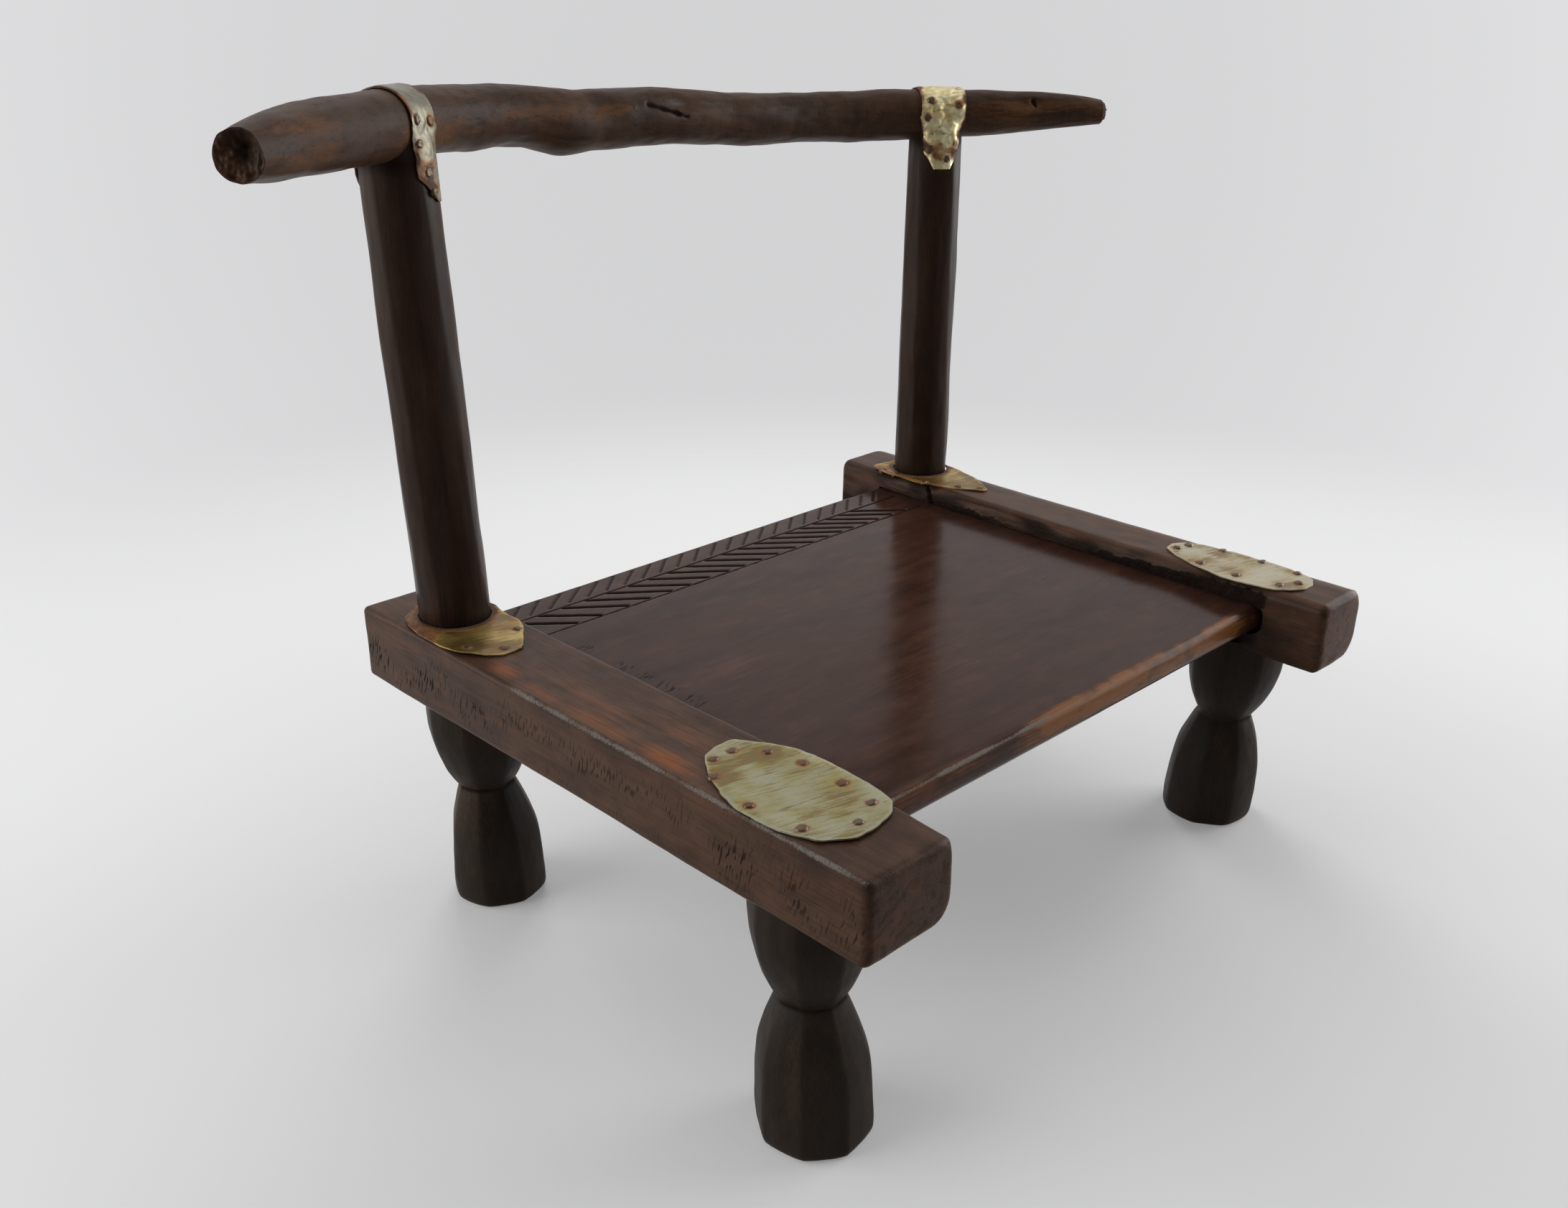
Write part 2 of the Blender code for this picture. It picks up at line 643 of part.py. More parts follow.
# Plates over the front legs and collars round the posts: sheet snipped to straight-sided outlines

def make_sheet(name, corners):
    bm = bmesh.new()
    face = bm.faces.new([bm.verts.new((x, y, SHEET_UNDERSIDE)) for x, y in corners])
    grown = bmesh.ops.extrude_face_region(bm, geom=[face])
    lifted = [part for part in grown["geom"] if isinstance(part, bmesh.types.BMVert)]
    bmesh.ops.translate(bm, vec=UP * SHEET_THICKNESS, verts=lifted)
    return add_piece(name, to_mesh(name, bm), SHEET_METAL)


def make_plate(name, rail, middle, rail_width, length, corners, nails):
    def on_rail(across, along):
        return middle[0] + across * rail_width / 2, middle[1] + along * length / 2

    sheet = make_sheet(name, [on_rail(*corner) for corner in corners])
    sheet_top = SHEET_UNDERSIDE + SHEET_THICKNESS
    places = [(Vector((*on_rail(*nail), sheet_top)), UP) for nail in nails]
    drive_nails(name, places, sheet, [rail])


def make_collar(name, rail, post, corners, nails):
    def round_post(angle, reach):
        distance = post.foot_radius + reach
        return (
            post.foot.x + distance * cos(radians(angle)),
            post.foot.y + distance * sin(radians(angle)),
        )

    sheet = make_sheet(name, [round_post(*corner) for corner in corners])
    sheet_top = SHEET_UNDERSIDE + SHEET_THICKNESS
    hole = round_cutter(
        name + "_hole", post.foot, post.foot_radius + 2 * FIT,
        RAIL_TOP - CUT_PAST, RAIL_TOP + CUT_PAST, POST_SIDES,
    )
    boolean(sheet, hole)
    places = [(Vector((*round_post(*nail), sheet_top)), UP) for nail in nails]
    drive_nails(name, places, sheet, [rail])


make_plate(
    "front_left_plate", left_rail, (LEFT_RAIL_X, LEFT_PLATE_FROM_FRONT), LEFT_RAIL_WIDTH,
    LEFT_PLATE_LENGTH, LEFT_PLATE_CORNERS, LEFT_PLATE_NAILS,
)
make_plate(
    "front_right_plate", right_rail, (RIGHT_RAIL_X, RIGHT_PLATE_FROM_FRONT), RIGHT_RAIL_WIDTH,
    RIGHT_PLATE_LENGTH, RIGHT_PLATE_CORNERS, RIGHT_PLATE_NAILS,
)
make_collar("left_post_collar", left_rail, left_post, LEFT_COLLAR_CORNERS, LEFT_COLLAR_NAILS)
make_collar("right_post_collar", right_rail, right_post, RIGHT_COLLAR_CORNERS, RIGHT_COLLAR_NAILS)


# Crest straps: sheet laid over the branch and hammered down the front and back of each post

class Strap:
    """The sheet's surface over the branch and down a post."""

    def __init__(self, post, shift, half_width, tongue_half_width, drop, tip_start, tip_share):
        self.post = post
        self.along = Vector((*post.tangent.xy, 0)).normalized()
        self.shift = shift
        self.half_width = half_width
        self.tongue_half_width = tongue_half_width
        self.drop = drop
        self.tip_start = tip_start
        self.tip_share = tip_share

    def over_crest(self, across, angle):
        """A point on the sheet where it lies on the branch."""
        share = crest_share_at(self.post.crossing.x + across * self.along.x)
        return crest_point(share, angle, STRAP_LIFT)

    def crest_reach(self, across, drop, side):
        """How far the branch stands out to one side, below its middle."""
        crossing = self.post.crossing
        share = crest_share_at(crossing.x + across * self.along.x)
        centre, radius = crest_station(share)
        height = crossing.z - drop - centre.z
        return side * (centre - crossing).dot(self.post.front) + sqrt(max(radius ** 2 - height ** 2, 0.0))

    def post_reach(self, across, drop, side):
        """How far the post stands out to one side, below the branch's middle."""
        z = self.post.crossing.z - drop
        offset = self.post.axis(z) - self.post.crossing
        aside = across - offset.dot(self.along)
        return side * offset.dot(self.post.front) + sqrt(max(self.post.radius(z) ** 2 - aside ** 2, 0.0))

    def down_post(self, across, drop, side):
        """A point on the sheet below the branch's middle; side is 1 in front and -1 behind."""
        crossing = self.post.crossing
        saddle = crossing.z - self.post.top
        hammered = min(drop / saddle, 1.0)
        bridge = self.crest_reach(across, 0.0, side) * (1 - hammered)
        bridge += self.post_reach(across, max(drop, saddle), side) * hammered
        reach = max(self.crest_reach(across, drop, side), bridge) + STRAP_LIFT
        flat = crossing + self.along * across + self.post.front * (side * reach)
        return Vector((flat.x, flat.y, crossing.z - drop))

    def tongue_width(self, share):
        """Half width of the tongue at a share of its drop, narrowing to its tip."""
        if share < TONGUE_NECK_SHARE:
            narrowing = share / TONGUE_NECK_SHARE
            return self.half_width + (self.tongue_half_width - self.half_width) * narrowing
        if share < self.tip_start:
            return self.tongue_half_width
        tip = (share - self.tip_start) / (1 - self.tip_start)
        return self.tongue_half_width * (1 - (1 - self.tip_share) * tip)

    def rows(self):
        """Rows of points from the front tip, over the branch, to the rear tip."""
        spread = [2 * k / STRAP_COLUMNS - 1 for k in range(STRAP_COLUMNS + 1)]

        def tongue_row(share, side):
            width = self.tongue_width(share)
            return [self.down_post(self.shift + s * width, share * self.drop, side) for s in spread]

        shares = [i / STRAP_TONGUE_ROWS for i in range(STRAP_TONGUE_ROWS + 1)]
        rows = [tongue_row(share, 1) for share in reversed(shares)]
        for i in range(1, STRAP_ARC_ROWS):
            angle = pi * i / STRAP_ARC_ROWS
            rows.append([self.over_crest(self.shift + s * self.half_width, angle) for s in spread])
        rows += [tongue_row(share, -1) for share in shares]
        return rows

    def square_nail(self, surface, across, place, step):
        """A nail's place and direction, square to the sheet; step is a small move up its outside."""
        sideways = surface(across + NAIL_HEAD_RADIUS, place) - surface(across - NAIL_HEAD_RADIUS, place)
        upward = surface(across, place + step) - surface(across, place - step)
        direction = sideways.cross(upward).normalized()
        return surface(across, place) + direction * SHEET_THICKNESS, direction

    def crest_nail(self, share, angle):
        across = self.shift + share * self.half_width
        return self.square_nail(self.over_crest, across, radians(angle), radians(1))

    def post_nail(self, share, drop, side):
        def surface(across, below):
            return self.down_post(across, below, side)

        across = self.shift + share * self.tongue_half_width
        return self.square_nail(surface, across, drop, -side * NAIL_HEAD_RADIUS)


def make_strap(name, post_piece, strap, crest_nails, post_nails):
    bm = bmesh.new()
    grid = [[bm.verts.new(point) for point in row] for row in strap.rows()]
    for low, high in zip(grid, grid[1:]):
        for k in range(STRAP_COLUMNS):
            bm.faces.new((low[k], low[k + 1], high[k + 1], high[k]))
    mesh = bpy.data.meshes.new(name)
    bm.to_mesh(mesh)
    bm.free()
    sheet = add_piece(name, mesh, SHEET_METAL)
    thickness = sheet.modifiers.new("sheet_thickness", "SOLIDIFY")
    thickness.thickness = SHEET_THICKNESS
    thickness.offset = 1.0
    places = [strap.crest_nail(*nail) for nail in crest_nails]
    places += [strap.post_nail(*nail) for nail in post_nails]
    drive_nails(name, places, sheet, [crest, post_piece])


make_strap(
    "left_crest_strap", left_post_piece,
    Strap(
        left_post, LEFT_STRAP_SHIFT, LEFT_STRAP_HALF_WIDTH, LEFT_TONGUE_HALF_WIDTH, LEFT_TONGUE_DROP,
        LEFT_TIP_START, LEFT_TIP_SHARE,
    ),
    LEFT_STRAP_CREST_NAILS, LEFT_STRAP_POST_NAILS,
)
make_strap(
    "right_crest_strap", right_post_piece,
    Strap(
        right_post, RIGHT_STRAP_SHIFT, RIGHT_STRAP_HALF_WIDTH, RIGHT_TONGUE_HALF_WIDTH, RIGHT_TONGUE_DROP,
        RIGHT_TIP_START, RIGHT_TIP_SHARE,
    ),
    RIGHT_STRAP_CREST_NAILS, RIGHT_STRAP_POST_NAILS,
)


# Stand the stool over the middle of its own box, which the branch and the rails' fronts bound

branch_points = [point for ring in crest_rings(0.0) for point in ring]
left_reach = min(point.x for point in branch_points)
right_reach = max(point.x for point in branch_points)
rear_reach = max(point.y for point in branch_points)
frame.location = (-(left_reach + right_reach) / 2, -rear_reach / 2, 0.0)
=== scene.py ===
from math import atan2, cos, degrees, exp, hypot, pi, radians, sin, sqrt

import bmesh
import bpy
import numpy as np
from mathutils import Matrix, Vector, noise
from mathutils.geometry import delaunay_2d_cdt


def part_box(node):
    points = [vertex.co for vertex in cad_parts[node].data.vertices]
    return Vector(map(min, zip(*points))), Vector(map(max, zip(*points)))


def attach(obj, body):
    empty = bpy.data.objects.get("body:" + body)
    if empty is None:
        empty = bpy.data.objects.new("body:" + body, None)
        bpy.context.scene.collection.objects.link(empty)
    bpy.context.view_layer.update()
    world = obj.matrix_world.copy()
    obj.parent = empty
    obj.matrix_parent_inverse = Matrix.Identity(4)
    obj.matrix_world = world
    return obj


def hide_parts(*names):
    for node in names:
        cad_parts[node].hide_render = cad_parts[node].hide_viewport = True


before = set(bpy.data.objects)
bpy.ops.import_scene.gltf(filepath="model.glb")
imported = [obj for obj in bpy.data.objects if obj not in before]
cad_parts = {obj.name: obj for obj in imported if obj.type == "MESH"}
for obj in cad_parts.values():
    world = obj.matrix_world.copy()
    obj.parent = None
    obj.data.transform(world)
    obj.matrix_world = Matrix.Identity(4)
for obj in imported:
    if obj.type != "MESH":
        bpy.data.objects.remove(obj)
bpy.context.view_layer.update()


# Side rails
# Two beams of dark red-brown hardwood, hewn square with an adze and rubbed smooth by use.
# Each takes two leg tenons and a post tenon, and is grooved inside for the seat board.
RAIL_GRID = 0.0016
RAIL_EDGE = 0.0032
RAIL_BELLY = 0.016
LEFT_RAIL_INNER_EDGE = 0.004
RIGHT_RAIL_INNER_EDGE = 0.007
RAIL_END_ROUNDING = 0.0055
FRONT_CORNER_WORN = 0.0020
NOSE_GAP = 0.0042
ADZE_WAVE = 0.0009
TOOL_CHATTER = 0.00025
GROOVE_GAP = 0.0009
CRUST_LUMP = 0.0006
OUTER_EDGE_WORN = 0.0032
WORN_CORNER_REACH = 0.008
FRONT_CORNER_LENGTH = 0.045
CORNER_WEAR = 0.45
CORNER_WEAR_REACH = 0.004
CRUST_FROM_FRONT = 0.335
CRUST_FADE = 0.05
CRUST_REACH = 0.0018
# A painted highlight, in the crust's grey, along the top edge of the left rail's front end
FRONT_EDGE_HIGHLIGHT = 0.62
FRONT_EDGE_HIGHLIGHT_REACH = 0.0016
PITTED_HEIGHT_SHARE = 0.42
PITTED_BAND = 0.012
# Worn colour laid over the left rail's outer face in streaks and over its front end, making them lighter
FACE_LIGHTER = 0.30
LEFT_END_PITS = 0.20
RIGHT_END_PITS = 0.15
# Worn colour over the right rail's front end, making it lighter
RIGHT_END_LIGHTER = 0.42
# How squarely a face looks in a direction, from none of an effect to all of it
FACING = (0.6, 0.95)
INNER_FACING = (0.35, 0.8)
SHARP_ANGLE = radians(38)
ARC_STEPS = 7
CAP_SHARES = (0.88, 0.70, 0.48, 0.26, 0.08)
UP = Vector((0, 0, 1))

left_low, left_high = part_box("left_side_rail")
right_low, right_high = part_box("right_side_rail")
seat_low, seat_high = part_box("seat_board")
rail_top = left_high.z
rear_end = left_high.y
front_end = left_low.y
middle_x = (left_high.x + right_low.x) / 2

# Worn places on the rails' tops: y from the front end, share of the width, length, width, strength
LEFT_RAIL_WEAR = (
    (0.165, -0.66, 0.030, 0.009, 0.95), (0.225, -0.70, 0.050, 0.008, 0.75),
    (0.325, -0.66, 0.016, 0.008, 1.00), (0.285, -0.70, 0.035, 0.007, 0.60),
    (0.250, -0.25, 0.070, 0.016, 0.50), (0.180, 0.15, 0.060, 0.016, 0.42),
)
RIGHT_RAIL_WEAR = (
    (0.300, -0.90, 0.060, 0.003, 0.45), (0.220, -0.90, 0.050, 0.003, 0.40),
    (0.040, -0.80, 0.030, 0.008, 0.30), (0.180, 0.50, 0.060, 0.010, 0.30),
)
NOTCH_FROM_FRONT = 0.373
NOTCH_LENGTH = 0.003
NOTCH_DEPTH = 0.0045
PITCH_HEIGHT = 0.0072
PITCH_THICKNESS = 0.0024
PITCH_FROM_FRONT = 0.060
PITCH_TO_BACK = 0.428
PITCH_END_FADE = (-0.006, 0.004)
PITCH_FOOT = (-0.0016, 0.0004)
PITCH_TOP_FADE = 0.002
HIGH_PITCH_RUN = (0.09, 0.22)
THICK_PITCH_RUN = (0.17, 0.24)
SECOND_PITCH_PLACE = 0.345
SECOND_PITCH_LENGTH = 0.030
# Where the right rail's inner face turns darker, and the darker place by the post's foot
INNER_DARK_START = (0.05, 0.07)
BY_POST_DARK_RUN = (-0.004, 0.008)
BY_POST_DARK_WIDTH = (0.014, 0.032)


def smooth_step(value, low, high):
    """0 below low, 1 above high, and an even rise between them."""
    share = min(max((value - low) / (high - low), 0.0), 1.0)
    return share * share * (3 - 2 * share)


def ripple(point, along_x, along_y, along_z):
    """Smooth noise about 0, with its own number of waves per metre along each axis."""
    return noise.noise(Vector((point.x * along_x, point.y * along_y, point.z * along_z)))


def bump(offset, reach):
    """A soft hill, 1 at its middle and nearly 0 past twice its reach."""
    return exp(-(offset / reach) ** 2)


def rounded_section(low, high, radii, grid):
    """Points round a rectangle from its lower right, anticlockwise, with a radius at each corner."""
    corners = ((high[0], low[1]), (high[0], high[1]), (low[0], high[1]), (low[0], low[1]))
    inward = ((-1, 1), (-1, -1), (1, -1), (1, 1))
    arcs = []
    for turn, (corner, sign, radius) in enumerate(zip(corners, inward, radii)):
        centre = (corner[0] + sign[0] * radius, corner[1] + sign[1] * radius)
        angles = [radians(90 * (turn - 1 + k / ARC_STEPS)) for k in range(ARC_STEPS + 1)]
        arcs.append([(centre[0] + radius * cos(a), centre[1] + radius * sin(a)) for a in angles])
    points = []
    for current, following in zip(arcs, arcs[1:] + arcs[:1]):
        points += current
        start = Vector(current[-1])
        run = Vector(following[0]) - start
        steps = max(int(run.length / grid), 1)
        points += [tuple(start + run * k / steps) for k in range(1, steps)]
    return points


def add_piece(name, points, faces):
    """A smooth mesh object at the origin, with its faces pointing out."""
    mesh = bpy.data.meshes.new(name)
    mesh.from_pydata(points, [], faces)
    work = bmesh.new()
    work.from_mesh(mesh)
    bmesh.ops.recalc_face_normals(work, faces=work.faces)
    work.to_mesh(mesh)
    work.free()
    mesh.shade_smooth()
    piece = bpy.data.objects.new(name, mesh)
    bpy.context.collection.objects.link(piece)
    return piece


def loft(name, rings):
    """A closed skin over rings of equal count."""
    count = len(rings[0])
    points = [point for ring in rings for point in ring]
    faces = []
    for row in range(len(rings) - 1):
        for k in range(count):
            a = row * count + k
            b = row * count + (k + 1) % count
            faces.append((a, b, b + count, a + count))
    faces.append(tuple(range(count - 1, -1, -1)))
    faces.append(tuple(range(len(points) - count, len(points))))
    return add_piece(name, points, faces)


def keep_evaluated(piece):
    """Make what the modifiers give the piece's own mesh, and remove them."""
    graph = bpy.context.evaluated_depsgraph_get()
    made = bpy.data.meshes.new_from_object(piece.evaluated_get(graph))
    piece.modifiers.clear()
    piece.data = made
    return piece


def cut_away(piece, cutter):
    """Cut a piece by a cutter, which is then removed."""
    modifier = piece.modifiers.new("cut", "BOOLEAN")
    modifier.object = cutter
    keep_evaluated(piece)
    bpy.data.objects.remove(cutter, do_unlink=True)
    return piece


def store(mesh, finishes):
    """Keep named values on a mesh's points."""
    for label, values in finishes.items():
        layer = mesh.attributes.new(label, "FLOAT", "POINT")
        layer.data.foreach_set("value", values)


def sculpt(piece, shape, *finishes):
    """Move points along their normals by shape(point, normal), and store the finishes that it names."""
    mesh = piece.data
    moved = []
    kept = []
    for vertex in mesh.vertices:
        offset, *values = shape(vertex.co, vertex.normal)
        moved.extend(vertex.co + vertex.normal * offset)
        kept.append(values)
    mesh.vertices.foreach_set("co", moved)
    store(mesh, dict(zip(finishes, zip(*kept))))
    mesh.shade_smooth()
    mesh.set_sharp_from_angle(angle=SHARP_ANGLE)
    mesh.update()
    return piece


def finish_piece(piece, material, slot, *nodes):
    """Give a finished piece its material, hide the nodes that it stands for, and hang it under the root.
    The slot is not used.
    """
    piece.data.materials.clear()
    piece.data.materials.append(material)
    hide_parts(*nodes)
    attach(piece, "root")


def rail_rings(low, high, inner_edge, inner_on_right):
    """Sections of a beam from its front end to its rear end, drawn in at both ends."""
    upper_right = inner_edge if inner_on_right else RAIL_EDGE
    upper_left = RAIL_EDGE if inner_on_right else inner_edge
    section = rounded_section(
        (low.x, low.z), (high.x, high.z), (RAIL_BELLY, upper_right, upper_left, RAIL_EDGE), RAIL_GRID,
    )
    centre = ((low.x + high.x) / 2, (low.z + high.z) / 2)
    half = ((high.x - low.x) / 2, (high.z - low.z) / 2)

    def ring(y, inset, share):
        across = share * (1 - inset / half[0])
        upward = share * (1 - inset / half[1])
        return [
            (centre[0] + across * (x - centre[0]), y, centre[1] + upward * (z - centre[1]))
            for x, z in section
        ]

    ends = [RAIL_END_ROUNDING * (1 - cos(pi / 2 * k / ARC_STEPS)) for k in range(ARC_STEPS)]
    insets = [RAIL_END_ROUNDING * (1 - sin(pi / 2 * k / ARC_STEPS)) for k in range(ARC_STEPS)]
    body = int((high.y - low.y - 2 * RAIL_END_ROUNDING) / RAIL_GRID)
    rings = [ring(low.y, RAIL_END_ROUNDING, share) for share in reversed(CAP_SHARES)]
    rings += [ring(low.y + away, inset, 1.0) for away, inset in zip(ends, insets)]
    for k in range(body + 1):
        straight = high.y - low.y - 2 * RAIL_END_ROUNDING
        rings.append(ring(low.y + RAIL_END_ROUNDING + straight * k / body, 0.0, 1.0))
    rings += [ring(high.y - away, inset, 1.0) for away, inset in zip(reversed(ends), reversed(insets))]
    rings += [ring(high.y, RAIL_END_ROUNDING, share) for share in CAP_SHARES]
    return rings


def hewn(point):
    """Height of the adze's long waves and the finer tool marks."""
    return ADZE_WAVE * ripple(point, 22, 9, 22) + TOOL_CHATTER * ripple(point, 70, 45, 70)


def worn_places(point, low, high, places):
    """Wear on a rail's top, from a list of rubbed places."""
    half = (high.x - low.x) / 2
    across = (point.x - (low.x + high.x) / 2) / half
    wear = 0.0
    for from_front, share, length, width, strength in places:
        along = bump(point.y - front_end - from_front, length)
        wear = max(wear, strength * along * bump((across - share) * half, width))
    return wear


def left_rail_shape(point, normal):
    """The left beam: crust along its outer upper edge, a painted highlight over crust along the top of its
    front end, rubbed places, lighter streaks on its outer face, a lighter front end, and pits on its outer
    face and ends.
    """
    offset = hewn(point)
    from_front = point.y - front_end
    on_face = smooth_step(-normal.x, *FACING)
    on_end = smooth_step(abs(normal.y), *FACING)
    edge = hypot(point.x - left_low.x - RAIL_EDGE / 3, point.z - rail_top + RAIL_EDGE / 3)
    front = hypot(from_front - RAIL_END_ROUNDING / 3, point.z - rail_top + RAIL_END_ROUNDING / 3)
    corner = hypot(point.x - left_high.x, point.z - rail_top)
    broken = smooth_step(ripple(point, 0, 35, 0) + 0.35 * ripple(point, 0, 150, 0), -0.45, 0.25)
    crust_and_sheen = bump(edge, CRUST_REACH) * (0.56 + 0.42 * broken)
    crust_and_sheen *= 1 - smooth_step(from_front, CRUST_FROM_FRONT - CRUST_FADE, CRUST_FROM_FRONT)
    # The front end's top edge takes a painted highlight in the crust's grey, which also raises crust lumps
    # there
    crust_and_sheen = max(crust_and_sheen, FRONT_EDGE_HIGHLIGHT * bump(front, FRONT_EDGE_HIGHLIGHT_REACH) * broken)
    offset += CRUST_LUMP * crust_and_sheen * (0.3 + ripple(point, 330, 300, 330))
    near_front = 1 - smooth_step(from_front, 0.0, FRONT_CORNER_LENGTH)
    offset -= FRONT_CORNER_WORN * near_front * bump(corner, WORN_CORNER_REACH)
    band = bump(point.z - (left_low.z + PITTED_HEIGHT_SHARE * (rail_top - left_low.z)), PITTED_BAND)
    pits = on_face * (0.10 + 0.75 * band) * smooth_step(ripple(point, 0, 30, 45), -0.35, 0.3)
    wear = max(
        worn_places(point, left_low, left_high, LEFT_RAIL_WEAR) * smooth_step(normal.z, 0.3, 0.9),
        CORNER_WEAR * bump(corner, CORNER_WEAR_REACH),
        # The outer face, in streaks, and the front end take the worn colour and are lighter
        FACE_LIGHTER * on_face * smooth_step(ripple(point, 0, 12, 60), -0.1, 0.4),
        FACE_LIGHTER * on_end,
    )
    return offset, wear, crust_and_sheen, 0.0, max(pits, LEFT_END_PITS * on_end), 0.0


def right_rail_shape(point, normal):
    """The right beam: black pitch above the seat, a darker inner face and a darker place by the post, a
    notch by the post with painted shade in it, a lighter front end, and a worn outer edge.
    """
    offset = hewn(point)
    from_front = point.y - front_end
    above_seat = point.z - seat_high.z
    inner = smooth_step(-normal.x, *INNER_FACING)
    on_end = smooth_step(abs(normal.y), *FACING)
    in_run = smooth_step(from_front - PITCH_FROM_FRONT, *PITCH_END_FADE)
    in_run *= smooth_step(PITCH_TO_BACK - from_front, *PITCH_END_FADE)
    ragged = 0.30 * ripple(point, 0, 90, 0) + 0.25 * ripple(point, 0, 240, 60)
    height = PITCH_HEIGHT * (0.85 + 0.65 * (1 - smooth_step(from_front, *HIGH_PITCH_RUN)) + ragged)
    rises = smooth_step(above_seat, *PITCH_FOOT) * smooth_step(height - above_seat, 0.0, PITCH_TOP_FADE)
    second = bump(from_front - SECOND_PITCH_PLACE, SECOND_PITCH_LENGTH)
    thick_here = max(1 - smooth_step(from_front, *THICK_PITCH_RUN), second)
    pitch = inner * in_run * rises * (0.30 + 0.70 * thick_here)
    lumps = 0.70 + 0.40 * ripple(point, 150, 130, 190) + 0.40 * ripple(point, 330, 300, 380)
    offset += PITCH_THICKNESS * pitch * (1 - above_seat / (2.5 * PITCH_HEIGHT)) * lumps
    # The inner face is darker in patches from a little behind its front end
    darkening = 0.50 * inner * smooth_step(ripple(point, 0, 24, 90), -0.45, 0.35)
    darkening *= smooth_step(from_front, *INNER_DARK_START)
    # A darker place on the inner face at the post's foot
    by_post = smooth_step(from_front - NOTCH_FROM_FRONT, *BY_POST_DARK_RUN)
    by_post *= 1 - smooth_step(point.x - right_low.x, *BY_POST_DARK_WIDTH)
    by_post *= 0.45 * smooth_step(ripple(point, 60, 40, 60), -0.5, 0.3)
    # A notch cut in by the post, which also takes painted shade
    notch = bump(from_front - NOTCH_FROM_FRONT - 0.5 * above_seat, NOTCH_LENGTH / 2)
    notch *= inner * smooth_step(above_seat, -0.002, 0.002)
    offset -= NOTCH_DEPTH * notch
    outer_edge = hypot(point.x - right_high.x, point.z - rail_top)
    offset -= OUTER_EDGE_WORN * bump(outer_edge, WORN_CORNER_REACH)
    wear = max(worn_places(point, right_low, right_high, RIGHT_RAIL_WEAR), RIGHT_END_LIGHTER * on_end)
    # The notch's hollow mask is painted shade; the pitch mask also carries the darker inner face and the
    # darker place by the post
    return offset, wear, 0.0, 0.7 * notch, RIGHT_END_PITS * on_end, max(pitch, darkening, by_post)


class Wire:
    """A node's output. A sum on it adds a node to its tree."""

    def __init__(self, socket):
        self.socket = socket
        self.tree = socket.id_data

    def __getitem__(self, label):
        """Another output of the same node."""
        return Wire(self.socket.node.outputs[label])

    def calc(self, operation, a, b):
        return node(self.tree, "ShaderNodeMath", {0: a, 1: b}, operation=operation)

    def __add__(self, other):
        return self.calc("ADD", self, other)

    def __sub__(self, other):
        return self.calc("SUBTRACT", self, other)

    def __rsub__(self, other):
        return self.calc("SUBTRACT", other, self)

    def __mul__(self, other):
        return self.calc("MULTIPLY", self, other)

    def __truediv__(self, other):
        return self.calc("DIVIDE", self, other)

    def most(self, other):
        return self.calc("MAXIMUM", self, other)

    def rise(self, low, high):
        """A soft step from 0 to 1 between two values."""
        sockets = {"Value": self, "From Min": low, "From Max": high}
        return node(self.tree, "ShaderNodeMapRange", sockets, interpolation_type="SMOOTHSTEP")

    def blend(self, a, b):
        """A mix of two colours by this share."""
        return node(self.tree, "ShaderNodeMix", {0: self, 6: a, 7: b}, 2, data_type="RGBA")

    def cloud(self, waves, detail, roughness=0.55, distortion=0.0):
        """Noise at this place, with its own waves per metre along each axis."""
        scaled = node(self.tree, "ShaderNodeVectorMath", {0: self, 1: waves}, operation="MULTIPLY")
        sockets = {"Vector": scaled, "Scale": 1.0, "Detail": detail, "Roughness": roughness}
        return node(self.tree, "ShaderNodeTexNoise", {**sockets, "Distortion": distortion})


def feed(target, sockets):
    """Set or link a node's inputs by name or number."""
    for key, value in sockets.items():
        if isinstance(value, Wire):
            value.tree.links.new(value.socket, target.inputs[key])
        else:
            target.inputs[key].default_value = value


def node(tree, kind, sockets=None, output=0, **settings):
    """Add a node, set its properties and its inputs, and give one of its outputs."""
    made = tree.nodes.new(kind)
    for label, value in settings.items():
        setattr(made, label, value)
    feed(made, sockets or {})
    return Wire(made.outputs[output])


def open_tree(name, kind, inputs, outputs):
    """A node group with named sockets: the group, its given wires and its last node."""
    tree = bpy.data.node_groups.new(name, kind)
    for side, sockets in (("INPUT", inputs), ("OUTPUT", outputs)):
        for label, socket_type in sockets.items():
            tree.interface.new_socket(name=label, in_out=side, socket_type=socket_type)
    given = tree.nodes.new("NodeGroupInput").outputs
    return tree, {label: Wire(given[label]) for label in inputs}, tree.nodes.new("NodeGroupOutput")


VECTOR = "NodeSocketVector"
COLOUR = "NodeSocketColor"
VALUE = "NodeSocketFloat"
# Grey of the crust; it also paints the sheen on the branch's scars and the highlight on the left rail's
# front edge
CRUST_AND_SHEEN_GREY = (0.225, 0.188, 0.160, 1)
# Black of pitch and soot, also used for the painted shade in hollows
PITCH_AND_SHADE_BLACK = (0.0080, 0.0068, 0.0060, 1)


